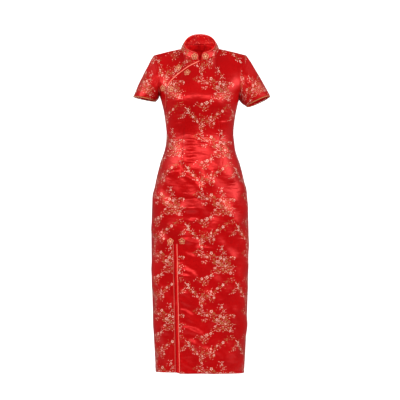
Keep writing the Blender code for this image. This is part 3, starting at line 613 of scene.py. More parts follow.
def creased(places, table):
    # sum of bells: height times e to the minus squares of the shares along and across a slightly bent line
    total = np.zeros(places.shape[:-1])
    for x, z, length, width, height, angle, bend in table:
        dx, dz = places[..., 0] - x, places[..., 1] - z
        turned = math.radians(angle)
        along = dx * math.cos(turned) + dz * math.sin(turned)
        across = dz * math.cos(turned) - dx * math.sin(turned) + bend * along ** 2
        total += height * np.exp(-((along / length) ** 2) - (across / width) ** 2)
    return total


def undulated(places, share=1.0):
    # sum of sine waves, at a share of their height above the waist
    total = np.zeros(places.shape[:-1])
    for across, up, height, phase in undulations:
        total += height * np.sin(2 * math.pi * (places[..., 0] / across + places[..., 1] / up) + phase)
    loose = np.clip((looseness["from"] - places[..., 1]) / looseness["over"], 0, 1)
    return total * share * (looseness["bodice"] + (1 - looseness["bodice"]) * loose)


# Woven figure: plum-blossom sprays, one repeat charted in millimetres, x across and y up the cloth
repeat = {"width": 0.189, "height": 0.212}
sprays = (  # three points of the bent branch, blossoms, their stray and size, share of gold, if drawn
    ((74, 212), (75, 180), (68, 144), 8, 3, 9, 0.1, True),
    ((92, 208), (101, 201), (107, 187), 3, 4, 10, 0.2, False),
    ((20, 31), (34, 10), (72, -28), 11, 4, 10, 0.1, True),
    ((12, 6), (3, 3), (-7, -3), 3, 3, 8, 0.8, True),
    ((181, 48), (134, 14), (83, -23), 12, 5, 10, 0.35, True),
    ((107, 183), (118, 192), (121, 205), 3, 3, 9, 0.3, True),
    ((53, 149), (70, 135), (97, 134), 6, 4, 9, 0.2, True),
    ((111, 132), (133, 108), (185, 95), 17, 12, 11, 0.6, True),
    ((136, 116), (155, 101), (176, 82), 11, 11, 11, 0.7, True),
    ((143, 161), (154, 148), (153, 116), 6, 4, 9, 0.2, True),
    ((168, 121), (180, 126), (191, 125), 3, 1, 7, 0.1, True),
    ((129, 85), (139, 77), (180, 84), 7, 5, 9, 0.5, True),
    ((112, 71), (92, 47), (58, 45), 8, 4, 11, 0.2, True),
    ((90, 36), (85, 30), (80, 24), 2, 1, 9, 0.1, True),
    ((75, 110), (82, 110), (88, 111), 2, 0.5, 8, 0.0, False),
    ((7, 125), (7, 125), (8, 126), 1, 0, 9, 0.0, False),
)
twigs = (  # fine strokes beside the dense sprays: x, y, length and angle
    (116, 135, 16, 108), (111, 130, 18, 104), (106, 124, 17, 112), (102, 118, 14, 116), (160, 88, 12, 60),
    (170, 92, 13, 75), (176, 89, 12, 50), (30, 20, 13, 118), (24, 24, 11, 70), (47, -2, 12, 20),
    (69, 168, 14, 104), (78, 186, 12, 78), (65, 148, 13, 116), (73, 200, 12, 60),
)
blossomShape = {  # in widths of a blossom; lift and edge are the heights in metres of a petal's heart and rim
    "petals": 5, "points": 7, "from": 0.17, "to": 0.47, "heart": 0.32, "halfWidth": 0.102, "egg": 0.3,
    "lift": 0.00045, "edge": 0.00015, "rimOut": 0.045, "rimHalf": 0.010, "rimSteps": 5,
    "rimTurn": (0.42, 1.58)}
figure = {  # millimetres, and shares of the numbers listed above
    "blossomShare": 0.46, "blossomGap": 10.0, "blossomStray": 2, "size": 0.94, "sizeSpread": 0.18,
    "budShare": 2.1, "budsMore": 3, "budGap": 4.3, "budStray": 6.0, "budLong": 9.2, "budSpread": 0.25,
    "goldBuds": 0.2, "tries": 14, "petalRing": 0.34, "nextAlong": 0.618, "nextGold": 0.31}
twigShape = {"reach": 11.0, "spread": 0.4, "halfWidth": 0.26, "branchHalf": 0.34, "sway": 1.2, "swayRate": 19,
             "paleTwigs": -0.4, "strokeHeight": 0.4, "tip": 0.35, "branch": (-0.04, 1.04, 15),
             "feet": (0.06, 0.94)}  # branch and feet are shares of the way along it


def strayed(count, seed):
    # four even draws from -1 to 1 for each mark
    return np.random.default_rng(seed).uniform(-1, 1, (count, 4))


def eggOutline(turn, grow):
    # an egg-shaped petal pointing away from the heart, wider at its outer end
    middle = (blossomShape["from"] + blossomShape["to"]) / 2
    half = (blossomShape["to"] - blossomShape["from"]) / 2 + grow
    across = (blossomShape["halfWidth"] + grow) * np.sin(turn) * (1 - blossomShape["egg"] * np.cos(turn))
    return np.stack([middle - half * np.cos(turn), across], 1)


def petalGrid():
    # the outline fanned to a raised middle
    turn = np.linspace(0, 2 * math.pi, blossomShape["points"] + 1)[:-1]
    outline = np.concatenate([eggOutline(turn, 0), np.zeros((len(turn), 1))], 1)
    number = np.arange(len(turn))
    fan = np.stack([number, (number + 1) % len(turn), np.full(len(turn), len(turn))], 1)
    return np.concatenate([outline, [[blossomShape["heart"], 0, 1]]]), fan


def blossomGrid():
    # five petals, each with a gold line round its outer end, in units of the blossom's width
    petal, fan = petalGrid()
    rimTurn = np.linspace(*blossomShape["rimTurn"], blossomShape["rimSteps"]) * math.pi
    line, lineFaces = stroke(eggOutline(rimTurn, blossomShape["rimOut"]), blossomShape["rimHalf"])
    parts = []
    for i in range(blossomShape["petals"]):
        matrix = turning(2 * math.pi * i / blossomShape["petals"])
        parts.append((petal @ matrix, fan, np.zeros(len(fan), int)))
        parts.append((line @ matrix, lineFaces, np.ones(len(lineFaces), int)))
    return joined(parts)


def stamped(shape, faces, kinds, centres, sizes, angles, allGold):
    # copies of a small shape, turned, sized and set on their centres in millimetres
    turned = np.stack([np.cos(angles), np.sin(angles), -np.sin(angles), np.cos(angles)], 1).reshape(-1, 2, 2)
    flat = np.einsum("pk,nkl->npl", shape[:, :2], turned) * sizes[:, None, None] + centres[:, None]
    high = np.broadcast_to(shape[:, 2:], (len(centres), len(shape), 1))
    numbers = np.arange(len(centres))[:, None, None] * len(shape) + faces[None]
    gold = np.maximum(kinds[None], allGold[:, None].astype(int))
    return np.concatenate([flat, high], 2).reshape(-1, 3), numbers.reshape(-1, 3), gold.ravel()


def onBranch(guide, t):
    # quadratic curve from the first guide point to the last
    return np.stack([(1 - t) ** 2, 2 * t * (1 - t), t ** 2], 1) @ guide


def roomFor(place, others, gap):
    # whether a place keeps its distance from all the others, across the repeat's edges as well
    if not len(others):
        return True
    size = np.array([repeat["width"], repeat["height"]]) * 1000
    away = np.abs(np.array(others) - place) % size
    return np.hypot(*np.minimum(away, size - away).T).min() > gap


def settled(places, wanted, taken, gap):
    # numbers of the first places with room; they are taken from then on
    chosen = []
    for k, place in enumerate(places):
        if len(chosen) < wanted and roomFor(place, taken, gap):
            taken.append(place)
            chosen.append(k)
    return chosen


def sprayBlossoms(i, guide, spray, hearts, marks):
    # blossoms at golden steps along the branch, strayed and kept apart; their petals go among the marks
    blossoms, stray, size, goldShare = spray
    wanted = max(int(blossoms * figure["blossomShare"]), 1)
    jitter = strayed(wanted * figure["tries"], 40 + i)
    along = (np.arange(len(jitter)) * figure["nextAlong"] + 0.5 / wanted) % 1
    at = onBranch(guide, along) + jitter[:, :2] * (stray + figure["blossomStray"])
    chosen = settled(at, wanted, hearts, figure["blossomGap"])
    middles, jitter = at[chosen], jitter[chosen]
    sizes, angles = size * (figure["size"] + figure["sizeSpread"] * jitter[:, 2]), jitter[:, 3] * math.pi
    turns = 2 * math.pi * np.arange(blossomShape["petals"])[None] / blossomShape["petals"] + angles[:, None]
    ring = figure["petalRing"] * sizes[:, None, None] * np.stack([np.cos(turns), np.sin(turns)], -1)
    marks.extend((middles[:, None] + ring).reshape(-1, 2))
    isGold = (np.arange(len(chosen)) * figure["nextAlong"] + figure["nextGold"] * i) % 1 < goldShare
    return stamped(*blossomGrid(), middles, sizes, angles, isGold)


def sprayBuds(i, guide, spray, marks):
    # single petals scattered a little more widely than the blossoms and past both ends of the branch
    blossoms, stray = spray[:2]
    petal, fan = petalGrid()
    wanted = int(blossoms * figure["budShare"]) + figure["budsMore"]
    jitter = strayed(wanted * figure["tries"], 140 + i)
    along = (np.arange(len(jitter)) * figure["nextAlong"]) % 1.2 - 0.1
    at = onBranch(guide, along) + jitter[:, :2] * (stray + figure["budStray"])
    chosen = settled(at, wanted, marks, figure["budGap"])
    middles, jitter = at[chosen], jitter[chosen]
    return stamped(petal - (blossomShape["heart"], 0, 0), fan, np.zeros(len(fan), int), middles,
                   figure["budLong"] * (1 + figure["budSpread"] * jitter[:, 2]), jitter[:, 3] * math.pi,
                   jitter[:, 2] > figure["goldBuds"])


def sprayTwigs(i, guide, blossoms):
    # the swaying branch itself, all gold, and its twigs
    along = np.linspace(*twigShape["branch"])
    line = onBranch(guide, along)
    line[:, 0] += twigShape["sway"] * np.sin(along * twigShape["swayRate"] + i)
    strips = [(*stroke(line, twigShape["branchHalf"]), 1)]
    jitter = strayed(blossoms // 3 + 1, 240 + i)
    feet = np.linspace(*twigShape["feet"], len(jitter))
    for at, (leanX, leanY, reach, shade) in zip(feet, jitter):
        foot = onBranch(guide, np.array([at]))[0]
        lean = unit(np.array([leanX, leanY])) * twigShape["reach"]
        tip = foot + lean * (1 + twigShape["spread"] * reach)
        isGold = int(shade > twigShape["paleTwigs"])
        strips.append((*stroke(np.linspace(foot, tip, 4), twigShape["halfWidth"]), isGold))
    return [(points, faces, np.full(len(faces), kind)) for points, faces, kind in strips]


def figureChart():
    # points of one repeat in metres with their height shares, its triangles and 1 where a triangle is gold
    parts, hearts, marks = [], [], []
    for i, (first, bend, last, *spray, drawn) in enumerate(sprays):
        guide = np.array([first, 2 * np.array(bend) - (np.array(first) + np.array(last)) / 2, last], float)
        parts.append(sprayBlossoms(i, guide, spray, hearts, marks))
        parts.append(sprayBuds(i, guide, spray, marks))
        if drawn:
            parts += sprayTwigs(i, guide, spray[0])
    for x, y, length, angle in twigs:
        lean = length * np.array([math.cos(math.radians(angle)), math.sin(math.radians(angle))])
        strip, stripFaces = stroke(np.linspace((x, y), np.array([x, y]) + lean, 5), twigShape["branchHalf"])
        parts.append((strip, stripFaces, np.ones(len(stripFaces), int)))
    points, faces, gold = joined(parts)
    points[:, :2] /= 1000
    return points, faces, gold


def stroke(line, halfWidth):
    # a flat ribbon that narrows to its ends, its half width by the sine of the way along
    along = unit(np.gradient(line, axis=0))
    side = np.stack([-along[:, 1], along[:, 0]], 1)
    swell = (1 - twigShape["tip"]) * np.sin(math.pi * np.linspace(0, 1, len(line)))
    taper = halfWidth * (twigShape["tip"] + swell)[:, None]
    points = np.stack([line - side * taper, line + side * taper], 1).reshape(-1, 2)
    points = np.concatenate([points, np.full((len(points), 1), twigShape["strokeHeight"])], 1)
    a = np.arange(0, len(points) - 2, 2)
    faces = np.concatenate([np.stack([a, a + 2, a + 1], 1), np.stack([a + 1, a + 2, a + 3], 1)])
    return points, faces


def sheetOf(grid, middle, sign=1):
    # the cloth's surface with the lengths that find a place on it: across each row and up the middle column
    across = lengthsAlong(grid, 1)
    across = across - across[:, middle:middle + 1]
    up = lengthsAlong(grid[:, middle:middle + 1], 0)[:, 0]
    return {"grid": grid, "normals": gridNormals(grid), "across": across, "up": up, "sign": sign}


def clothPlaces(sheet):
    # each point's lengths across and up the cloth
    up = np.broadcast_to(sheet["up"][:, None], sheet["across"].shape)
    return np.stack([sheet["across"], up], -1) * sheet["sign"]


def onSheet(sheet, places):
    # points and normals of the cloth at places in its own lengths, and which of them are on it: the place is
    # looked up in the two rows next to it, then mixed between them
    grid, across = sheet["grid"], sheet["across"]
    rows, columns = across.shape
    u, v = (places * sheet["sign"]).T
    row = np.interp(v, sheet["up"], np.arange(rows))
    low = np.minimum(row.astype(int), rows - 2)
    share = (row - low)[:, None]
    apart = 10  # metres, more than any row is wide, so that one search looks through all rows
    keys = (across + np.arange(rows)[:, None] * apart).ravel()
    within = (v > sheet["up"][0]) & (v < sheet["up"][-1])
    both = np.concatenate([grid, sheet["normals"]], -1)
    found = 0
    for step, weight in ((0, 1 - share), (1, share)):
        number = np.searchsorted(keys, u + (low + step) * apart) - (low + step) * columns
        within &= (number > 0) & (number < columns)
        number = np.clip(number, 1, columns - 1)
        left, right = across[low + step, number - 1], across[low + step, number]
        t = np.clip((u - left) / np.maximum(right - left, 1e-9), 0, 1)[:, None]
        found = found + (both[low + step, number - 1] * (1 - t) + both[low + step, number] * t) * weight
    return found[:, :3], unit(found[:, 3:]), within


chart, chartFaces, chartGold = figureChart()


def figureOn(name, sheet, start, allowed=None, grooves=None, threads=(creamThread, goldThread)):
    # covers a sheet with repeats of the chart, laid just above the cloth; start is where one repeat begins
    lows = clothPlaces(sheet).reshape(-1, 2).min(0)
    highs = clothPlaces(sheet).reshape(-1, 2).max(0)
    size = np.array([repeat["width"], repeat["height"]])
    first = np.floor((lows - start) / size).astype(int) - 1
    last = np.ceil((highs - start) / size).astype(int) + 1
    columns, rows = np.meshgrid(np.arange(first[0], last[0]), np.arange(first[1], last[1]))
    corners = np.stack([columns.ravel(), rows.ravel()], 1) * size + start
    places = (chart[None, :, :2] + corners[:, None]).reshape(-1, 2)
    heights = np.tile(chart[:, 2], len(corners))
    faces = (chartFaces[None] + (np.arange(len(corners)) * len(chart))[:, None, None]).reshape(-1, 3)
    kinds = np.tile(chartGold, len(corners))
    points, normals, within = onSheet(sheet, places)
    if allowed is not None:
        within &= allowed(points)
    raised = blossomShape["edge"] + (blossomShape["lift"] - blossomShape["edge"]) * heights
    if grooves is not None:
        raised = raised + grooves(points)
    points = points + normals * raised[:, None]
    keep = within[faces].all(1)
    used, numbers = np.unique(faces[keep], return_inverse=True)
    piece = addMesh(name, points[used], numbers.reshape(-1, 3), places[used], threads, kinds[keep])
    return piece


cordShape = {"around": 12, "puckerLong": 0.006, "end": 0.5}


def cordAlong(name, path, outward, radius, material, closed=False, pucker=0.0):
    # a round cord: cosine and sine of the turn along the outward direction and across it, swelling in puckers
    if closed:
        tangent = unit(np.roll(path, -1, 0) - np.roll(path, 1, 0))
    else:
        tangent = unit(np.gradient(path, axis=0))
    side = unit(np.cross(tangent, outward))
    top = np.cross(side, tangent)
    swell = 1 + pucker * np.sin(2 * math.pi * pathLengths(path) / cordShape["puckerLong"])
    turn = np.linspace(0, 2 * math.pi, cordShape["around"] + 1)[:-1]
    ring = np.cos(turn)[None, :, None] * top[:, None] + np.sin(turn)[None, :, None] * side[:, None]
    points = path[:, None] + ring * (radius * swell)[:, None, None]
    rows, columns = points.shape[:2]
    flat = points.reshape(-1, 3)
    if closed:
        faces = gridFaces(rows + 1, columns, True) % (rows * columns)
    else:
        reach = radius * cordShape["end"]
        ends = np.array([path[0] - tangent[0] * reach, path[-1] + tangent[-1] * reach])
        flat = np.concatenate([flat, ends])
        first, last = np.arange(columns), np.arange(columns) + (rows - 1) * columns
        startCap = np.stack([np.roll(first, -1), first, np.full(columns, len(flat) - 2)], 1)
        endCap = np.stack([last, np.roll(last, -1), np.full(columns, len(flat) - 1)], 1)
        faces = np.concatenate([gridFaces(rows, columns, True), startCap, endCap])
    if np.einsum("ij,ij->", flat[faces[:, 0]], np.cross(flat[faces[:, 1]], flat[faces[:, 2]])) < 0:
        faces = faces[:, ::-1]
    return addMesh(name, flat, faces, None, (material,))


def evenly(path, spacing, times=2):
    # the path again at even steps, lightly smoothed
    keep = np.concatenate([[True], np.linalg.norm(np.diff(path[:, :3], axis=0), axis=1) > 1e-5])
    path = path[keep]
    length = pathLengths(path[:, :3])
    at = np.linspace(0, length[-1], max(int(length[-1] / spacing), 4))
    made = np.stack([np.interp(at, length, path[:, i]) for i in range(path.shape[1])], 1)
    for _ in range(times):
        made[1:-1] = (made[:-2] + 2 * made[1:-1] + made[2:]) / 4
    return made


# Front and back panels
centre = columnsHalf
seamReach = {"columns": 5, "rows": 4}  # cells over which creases die out towards a seam
groove = {"dartWidth": 0.0022, "seamWidth": 0.0020, "seamDepth": 0.0007, "seamTop": 0.002, "seamFade": 0.012,
          "hemWidth": 0.0016, "hemDepth": 0.0005, "hemTurn": 0.012}
scoreLines = {"dart": (-0.0035, -0.0016, 0, 0.0016, 0.0035),
              "centreBack": (-0.0032, -0.0014, 0, 0.0014, 0.0032)}
puckers = {"wave": 0.017, "height": 0.0007, "reach": 0.020, "swing": 2.2, "swingRate": 31, "fade": 0.03}
clothThickness, collarThickness, bandThickness = 0.0012, 0.0020, 0.0010
halfGap = 0.00015  # half the gap between the front and the chest piece
figureMargin, seamMargin = 0.0015, 0.001  # bare edges beside the closing and the slit, and beside a seam
frontWaves, backWaves = 1.0, 0.8  # shares of the slow waves' height
figureStart = {"front": (-0.0680, 0.5120), "chest": (-0.0200, 0.4700),
               "backLeft": (-0.0900, 0.4400), "backRight": (-0.1500, 0.3600),
               "sleeveLeft": (-0.0210, -0.0060), "sleeveRight": (0.0950, 0.0020),
               "collarLeft": (-0.0760, -0.0850), "collarRight": (-0.0340, -0.0950),
               "innerLeft": (-0.1180, -0.0900), "innerRight": (0.0130, -0.0800)}


def seamFade(shape):
    # 0 at the seams, 1 a few cells in, smoothly
    rows, columns = np.arange(shape[0]), np.arange(shape[1])
    side = np.clip(np.minimum(columns, columns[::-1]) / seamReach["columns"], 0, 1)
    top = np.clip(rows[::-1] / seamReach["rows"], 0, 1)
    fade = top[:, None] * side[None, :]
    return fade * fade * (3 - 2 * fade)


def worn(grid, table, share, fade):
    # the grid moved along its normals by its creases and slow waves
    front = grid[..., [0, 2]]
    lift = creased(front, table) + undulated(front, share)
    return grid + gridNormals(grid) * (lift * fade)[..., None]


def besideSlit(points):
    # small puckers where the piping is sewn along the slit's right edge
    x, z = points[..., 0], points[..., 2]
    away = x - slitX("right", z)
    wave = np.sin(2 * math.pi * z / puckers["wave"] + puckers["swing"] * np.sin(z * puckers["swingRate"]))
    shown = (away > 0) * np.clip((slit["topZ"] - z) / puckers["fade"], 0, 1)
    return puckers["height"] * wave * shown * np.exp(-away / puckers["reach"])


def fromDart(points, dart):
    # distance from the dart's line, across the cloth
    z = np.clip(points[:, 2], dart["z"][0], dart["z"][-1])
    return points[:, 0] - smoothCurve(dart["z"], dart["x"], z)


def dartGrooves(points, face):
    # a bell across each dart's line, as deep as its table says at that height
    total = np.zeros(len(points))
    for dart in darts[face]:
        bell = np.exp(-((fromDart(points, dart) / groove["dartWidth"]) ** 2))
        total -= np.interp(points[:, 2], dart["z"], dart["depth"]) * bell
    return total


def hemGroove(points, grid):
    # the stitched line of the turned hem, a little above the edge
    order = np.argsort(grid[0, :, 0])
    edge = np.interp(points[:, 0], grid[0, order, 0], grid[0, order, 2])
    away = points[:, 2] - edge - groove["hemTurn"]
    return -groove["hemDepth"] * np.exp(-((away / groove["hemWidth"]) ** 2))


def scoredAlong(cloth, value, offsets):
    # triangles split where value is at each offset, so that a groove or an edge runs on their sides
    for offset in offsets:
        cloth = scored(cloth, value(cloth["points"]) - offset)
    return cloth


def scoredForDarts(cloth, face):
    # triangles split along every dart of the front or the back
    for dart in darts[face]:
        cloth = scoredAlong(cloth, lambda points: fromDart(points, dart), scoreLines["dart"])
    return cloth


def clothPiece(name, cloth, grooves, thickness, cadNode, materials):
    # the cloth moved along its normals by its grooves, given a wall
    points = cloth["points"]
    if grooves is not None:
        points = points + cloth["normals"] * grooves(points)[:, None]
    piece = addMesh(name, points, cloth["faces"], cloth["places"], materials)
    thickened(piece, thickness)
    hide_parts(cadNode)


def middleOf(cloth):
    # middle of each triangle
    return cloth["points"][cloth["faces"]].mean(1)


frontGrid = panelGrid("front")
frontFade = seamFade(frontGrid.shape)
frontGrid = worn(frontGrid, frontCreases, frontWaves, frontFade)
frontGrid = frontGrid + gridNormals(frontGrid) * (besideSlit(frontGrid) * frontFade)[..., None]
frontSheet = sheetOf(frontGrid, centre)


def frontGrooves(points):
    # sum of the darts' and the hem's grooves
    return dartGrooves(points, "front") + hemGroove(points, frontGrid)


def offSlit(points, margin):
    # true outside the slit's opening, grown by the margin
    x, z = points[:, 0], points[:, 2]
    inside = (x > slitX("left", z) - margin) & (x < slitX("right", z) + margin) & (z < slit["topZ"] + margin)
    return ~inside


wholeFront = clothOf(frontGrid, clothPlaces(frontSheet))
wholeFront = scoredForDarts(wholeFront, "front")
wholeFront = scoredAlong(wholeFront, chestSide, (-halfGap, halfGap))
closingDistance = chestSide(middleOf(wholeFront))
chestCloth = parted(wholeFront, closingDistance > halfGap)
frontCloth = parted(wholeFront, closingDistance < -halfGap)
for line in (lambda points: points[:, 2] - slit["topZ"],
             lambda points: points[:, 0] - slitX("left", points[:, 2]),
             lambda points: points[:, 0] - slitX("right", points[:, 2])):
    frontCloth = scoredAlong(frontCloth, line, (0,))
frontCloth = parted(frontCloth, offSlit(middleOf(frontCloth), 0))
satins = (brocadeSatin, brocadeWrong)
clothPiece("front_main_cloth", frontCloth, frontGrooves, clothThickness, "front_main", satins)
frontFigure = figureOn("front_main_figure", frontSheet, figureStart["front"],
                       lambda points: (chestSide(points) < -figureMargin) & offSlit(points, figureMargin),
                       frontGrooves)
clothPiece("chest_right_cloth", chestCloth, frontGrooves, clothThickness, "chest_right", satins)
chestFigure = figureOn("chest_right_figure", frontSheet, figureStart["chest"],
                       lambda points: chestSide(points) > figureMargin, frontGrooves)
print("front:", len(frontCloth["faces"]), "triangles of cloth,", len(frontFigure.data.polygons), "of figure")

backGrid = panelGrid("back")
backGrid = worn(backGrid, backCreases, backWaves, seamFade(backGrid.shape))
backSheet = sheetOf(backGrid, centre)


def backGrooves(points):
    # the groove dies out below the neckline, so that the edge there stays shut against the collar
    top = neckPoint(np.array(math.pi))[2] - groove["seamTop"]
    shown = np.clip((top - points[:, 2]) / groove["seamFade"], 0, 1)
    seam = -groove["seamDepth"] * shown * np.exp(-((points[:, 0] / groove["seamWidth"]) ** 2))
    return dartGrooves(points, "back") + hemGroove(points, backGrid) + seam


wholeBack = scoredForDarts(clothOf(backGrid, clothPlaces(backSheet)), "back")
wholeBack = scoredAlong(wholeBack, lambda points: points[:, 0], scoreLines["centreBack"])
for side, sign in sideSign.items():
    half = parted(wholeBack, middleOf(wholeBack)[:, 0] * sign > 0)
    clothPiece(f"back_{side}_cloth", half, backGrooves, clothThickness, f"back_{side}", satins)
    figureOn(f"back_{side}_figure", backSheet, figureStart["back" + side.capitalize()],
                                 lambda points, sign=sign: points[:, 0] * sign > seamMargin, backGrooves)
print("back:", len(wholeBack["faces"]), "triangles of cloth")


# Sleeves: from the armhole to a leaning elliptical cuff, columns from the underarm round the outside
# outer and inner are x and z of the cuff's ends, and its tilt is in degrees
cuffs = {"right": {"outer": (0.2445, -0.1700), "inner": (0.1600, -0.1880), "y": -0.004, "halfDepth": 0.046,
                   "tilt": 2.0},
         "left": {"outer": (0.2570, -0.1690), "inner": (0.1700, -0.2080), "y": -0.008, "halfDepth": 0.042,
                  "tilt": 8.0}}
sleeve = {"bulge": 0.003, "rows": 40, "fadeRows": (5, 2), "waves": 0.7}
sleeveCreases = (
    # right sleeve, fanning out from the underarm
    (-0.168, -0.120, 0.022, 0.006, -0.0044, 52, 4), (-0.180, -0.150, 0.024, 0.0055, 0.0036, 40, 2),
    (-0.172, -0.172, 0.018, 0.0045, -0.0028, 30, 0),
    # left sleeve, the same
    (0.172, -0.118, 0.024, 0.0065, -0.0044, -50, -4), (0.186, -0.148, 0.026, 0.0055, 0.004, -40, -2),
    (0.178, -0.180, 0.018, 0.005, -0.0032, -28, 0),
    # near each shoulder
    (-0.205, -0.120, 0.020, 0.008, 0.0032, 66, 2), (0.214, -0.118, 0.022, 0.0085, 0.0036, -64, -2),
)


def sleeveGrid(side):
    # straight lines from the armhole to the cuff's tilted ellipse, bulged by a parabola
    rise = np.concatenate([np.linspace(0, 1, rowsAbove + 1), np.linspace(1, 0, rowsAbove + 1)[1:]])
    front = armholePoint(side, "front", rise[:rowsAbove + 1])
    ring = np.concatenate([front, armholePoint(side, "back", rise[rowsAbove + 1:])])
    turn = np.linspace(math.pi, -math.pi, len(ring))
    cuff, sign = cuffs[side], sideSign[side]
    outer = np.array([sign * cuff["outer"][0], cuff["y"], cuff["outer"][1]])
    inner = np.array([sign * cuff["inner"][0], cuff["y"], cuff["inner"][1]])
    tilt = math.radians(cuff["tilt"])
    depth = np.array([0, -math.cos(tilt), math.sin(tilt)]) * cuff["halfDepth"]
    end = (outer + inner) / 2 + np.cos(turn)[:, None] * (outer - inner) / 2 + np.sin(turn)[:, None] * depth
    rows = np.linspace(0, 1, sleeve["rows"] + 1)[:, None, None]
    outward = unit(end - end[:-1].mean(0))
    grid = ring * (1 - rows) + end * rows + sleeve["bulge"] * 4 * rows * (1 - rows) * outward
    return grid if side == "right" else grid[:, ::-1]


sleeveFigures, cuffEdges = {}, {}
for side in sideSign:
    grid = sleeveGrid(side)
    flat = grid[..., [0, 2]]
    rows = np.arange(sleeve["rows"] + 1)
    top, low = sleeve["fadeRows"]
    fade = np.clip(np.minimum(rows / top, (rows[::-1] + 1) / low), 0, 1)[:, None]
    lift = (creased(flat, sleeveCreases) + undulated(flat, sleeve["waves"])) * fade
    grid = grid + closedNormals(grid) * lift[..., None]
    sheet = sheetOf(grid, grid.shape[1] // 2, -1)
    sheet["normals"] = closedNormals(grid)
    ring = grid[:, :-1]
    piece = addMesh(f"sleeve_{side}_cloth", ring.reshape(-1, 3), gridFaces(*ring.shape[:2], True),
                    clothPlaces(sheet).reshape(-1, 2), satins, placeFaces=gridFaces(*grid.shape[:2]))
    thickened(piece, clothThickness)
    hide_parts(f"sleeve_{side}")
    sleeveFigures[side] = figureOn(f"sleeve_{side}_figure", sheet, figureStart["sleeve" + side.capitalize()])
    cuffEdges[side] = (ring[-1], unit(ring[-1] - ring[-2]), sheet["normals"][-1, :-1])
print("sleeves: 2, with", len(sleeveFigures["left"].data.polygons), "triangles of figure on the left one")


# Collar: two bands from the neckline to the rim, rounded off at the front
collar = {"from": 7.0, "round": 20.0, "endHeight": 0.62, "bulge": 0.0015, "columns": 110, "rows": 14,
          "crowding": 1.25}  # degrees round the neck; columns crowd towards the front end


def collarGrid(side):
    # straight from the neckline to the rim, with its height rounded off at the front, bulged by a parabola
    share = np.linspace(0, 1, collar["columns"]) ** collar["crowding"]
    degrees = collar["from"] + (180 - collar["from"]) * share
    angles = np.radians(degrees)
    mirror = (sideSign[side], 1, 1)
    base, edge = neckPoint(angles) * mirror, rimPoint(angles) * mirror
    # quarter ellipse from the end's height up to the full height
    away = np.clip((collar["round"] - degrees) / (collar["round"] - collar["from"]), 0, 1)
    height = collar["endHeight"] + (1 - collar["endHeight"]) * np.sqrt(1 - away ** 2)
    rows = np.linspace(0, 1, collar["rows"])[:, None, None] * height[None, :, None]
    outward = -unit((edge - base) * (1, 1, 0))
    grid = base + (edge - base) * rows + collar["bulge"] * 4 * rows * (1 - rows) * outward
    return grid if side == "left" else grid[:, ::-1]


collarFigures, innerFigures, collarSheets = {}, {}, {}
for side in sideSign:
    grid = collarGrid(side)
    sheet = sheetOf(grid, 0 if side == "left" else grid.shape[1] - 1)
    clothPiece(f"collar_{side}_cloth", clothOf(grid, clothPlaces(sheet)), None, collarThickness,
               f"collar_{side}", (brocadeSatin, innerSatin))
    collarFigures[side] = figureOn(f"collar_{side}_figure", sheet, figureStart["collar" + side.capitalize()])
    # the inner layer is brocade too; its sheet faces the neck, and its figure is drawn in the darker, redder
    # threads as painted shade
    inner = (grid - sheet["normals"] * collarThickness)[:, ::-1]
    innerSheet = sheetOf(inner, inner.shape[1] - 1 if side == "left" else 0)
    innerFigures[side] = figureOn(f"collar_{side}_inner_figure", innerSheet,
                                  figureStart["inner" + side.capitalize()], threads=(shadedCreamFloat, shadedGoldFloat))
    collarSheets[side] = sheet
print("collar: 2 bands")


# Plain band behind the slit
band = {"lap": 0.010, "rise": 0.010, "behind": 0.0006, "rows": 90, "columns": 16, "aboveHem": 0.0002,
        "ripple": 0.0003, "rippleLong": 0.023, "rippleTurn": 140}


lookUp = {"guess": 20, "passes": 4, "leastStep": 1e-4}  # guess is the columns from the centre


def placeIn(lines, values):
    # where each value falls in its own rising line, in steps of the line
    after = np.clip((lines < values[:, None]).sum(1), 1, lines.shape[1] - 1)
    each = np.arange(len(values))
    low, high = lines[each, after - 1], lines[each, after]
    return np.clip(after - 1 + (values - low) / (high - low), 0, lines.shape[1] - 1)


def frontAt(x, z):
    # the front's points and normals at places seen from the front: the row is guessed, then put right a few
    # times by the height that is missing, each time with the column looked up by x
    grid, normals = frontSheet["grid"], frontSheet["normals"]
    both = np.concatenate([grid, normals], -1)
    each = np.arange(len(x))
    row = placeIn(grid[:, centre + np.sign(x).astype(int) * lookUp["guess"], 2].T, z)
    for _ in range(lookUp["passes"]):
        low = np.clip(row.astype(int), 0, grid.shape[0] - 2)
        t = (row - low)[:, None, None]
        line = both[low] * (1 - t) + both[low + 1] * t
        place = placeIn(line[..., 0], x)
        near = np.clip(place.astype(int), 0, grid.shape[1] - 2)
        s = (place - near)[:, None]
        found = line[each, near] * (1 - s) + line[each, near + 1] * s
        slope = np.maximum(grid[low + 1, near, 2] - grid[low, near, 2], lookUp["leastStep"])
        row = np.clip(row + (z - found[:, 2]) / slope, 0, grid.shape[0] - 1.001)
    return found[:, :3], unit(found[:, 3:])


def bandGrid():
    # follows the back of the front's cloth, with a fine ripple
    z = np.linspace(frontGrid[0, centre, 2] + band["aboveHem"], slit["topZ"] + band["rise"], band["rows"])
    share = np.linspace(0, 1, band["columns"])
    left, right = slitX("left", z) - band["lap"], slitX("right", z) + band["lap"]
    x = left[:, None] + (right - left)[:, None] * share[None, :]
    heights = np.broadcast_to(z[:, None], x.shape).ravel()
    points, normals = frontAt(x.ravel(), heights)
    wave = np.sin(heights * 2 * math.pi / band["rippleLong"] + x.ravel() * band["rippleTurn"])
    behind = clothThickness + band["behind"] + band["ripple"] * (1 + wave)
    return (points - normals * behind[:, None]).reshape(*x.shape, 3)


bandCloth = bandGrid()
bandSheet = sheetOf(bandCloth, band["columns"] // 2)
clothPiece("slit_band_cloth", clothOf(bandCloth, clothPlaces(bandSheet)), None, bandThickness, "slit_band",
           (plainSatin, plainSatin))
print("slit band: 1")


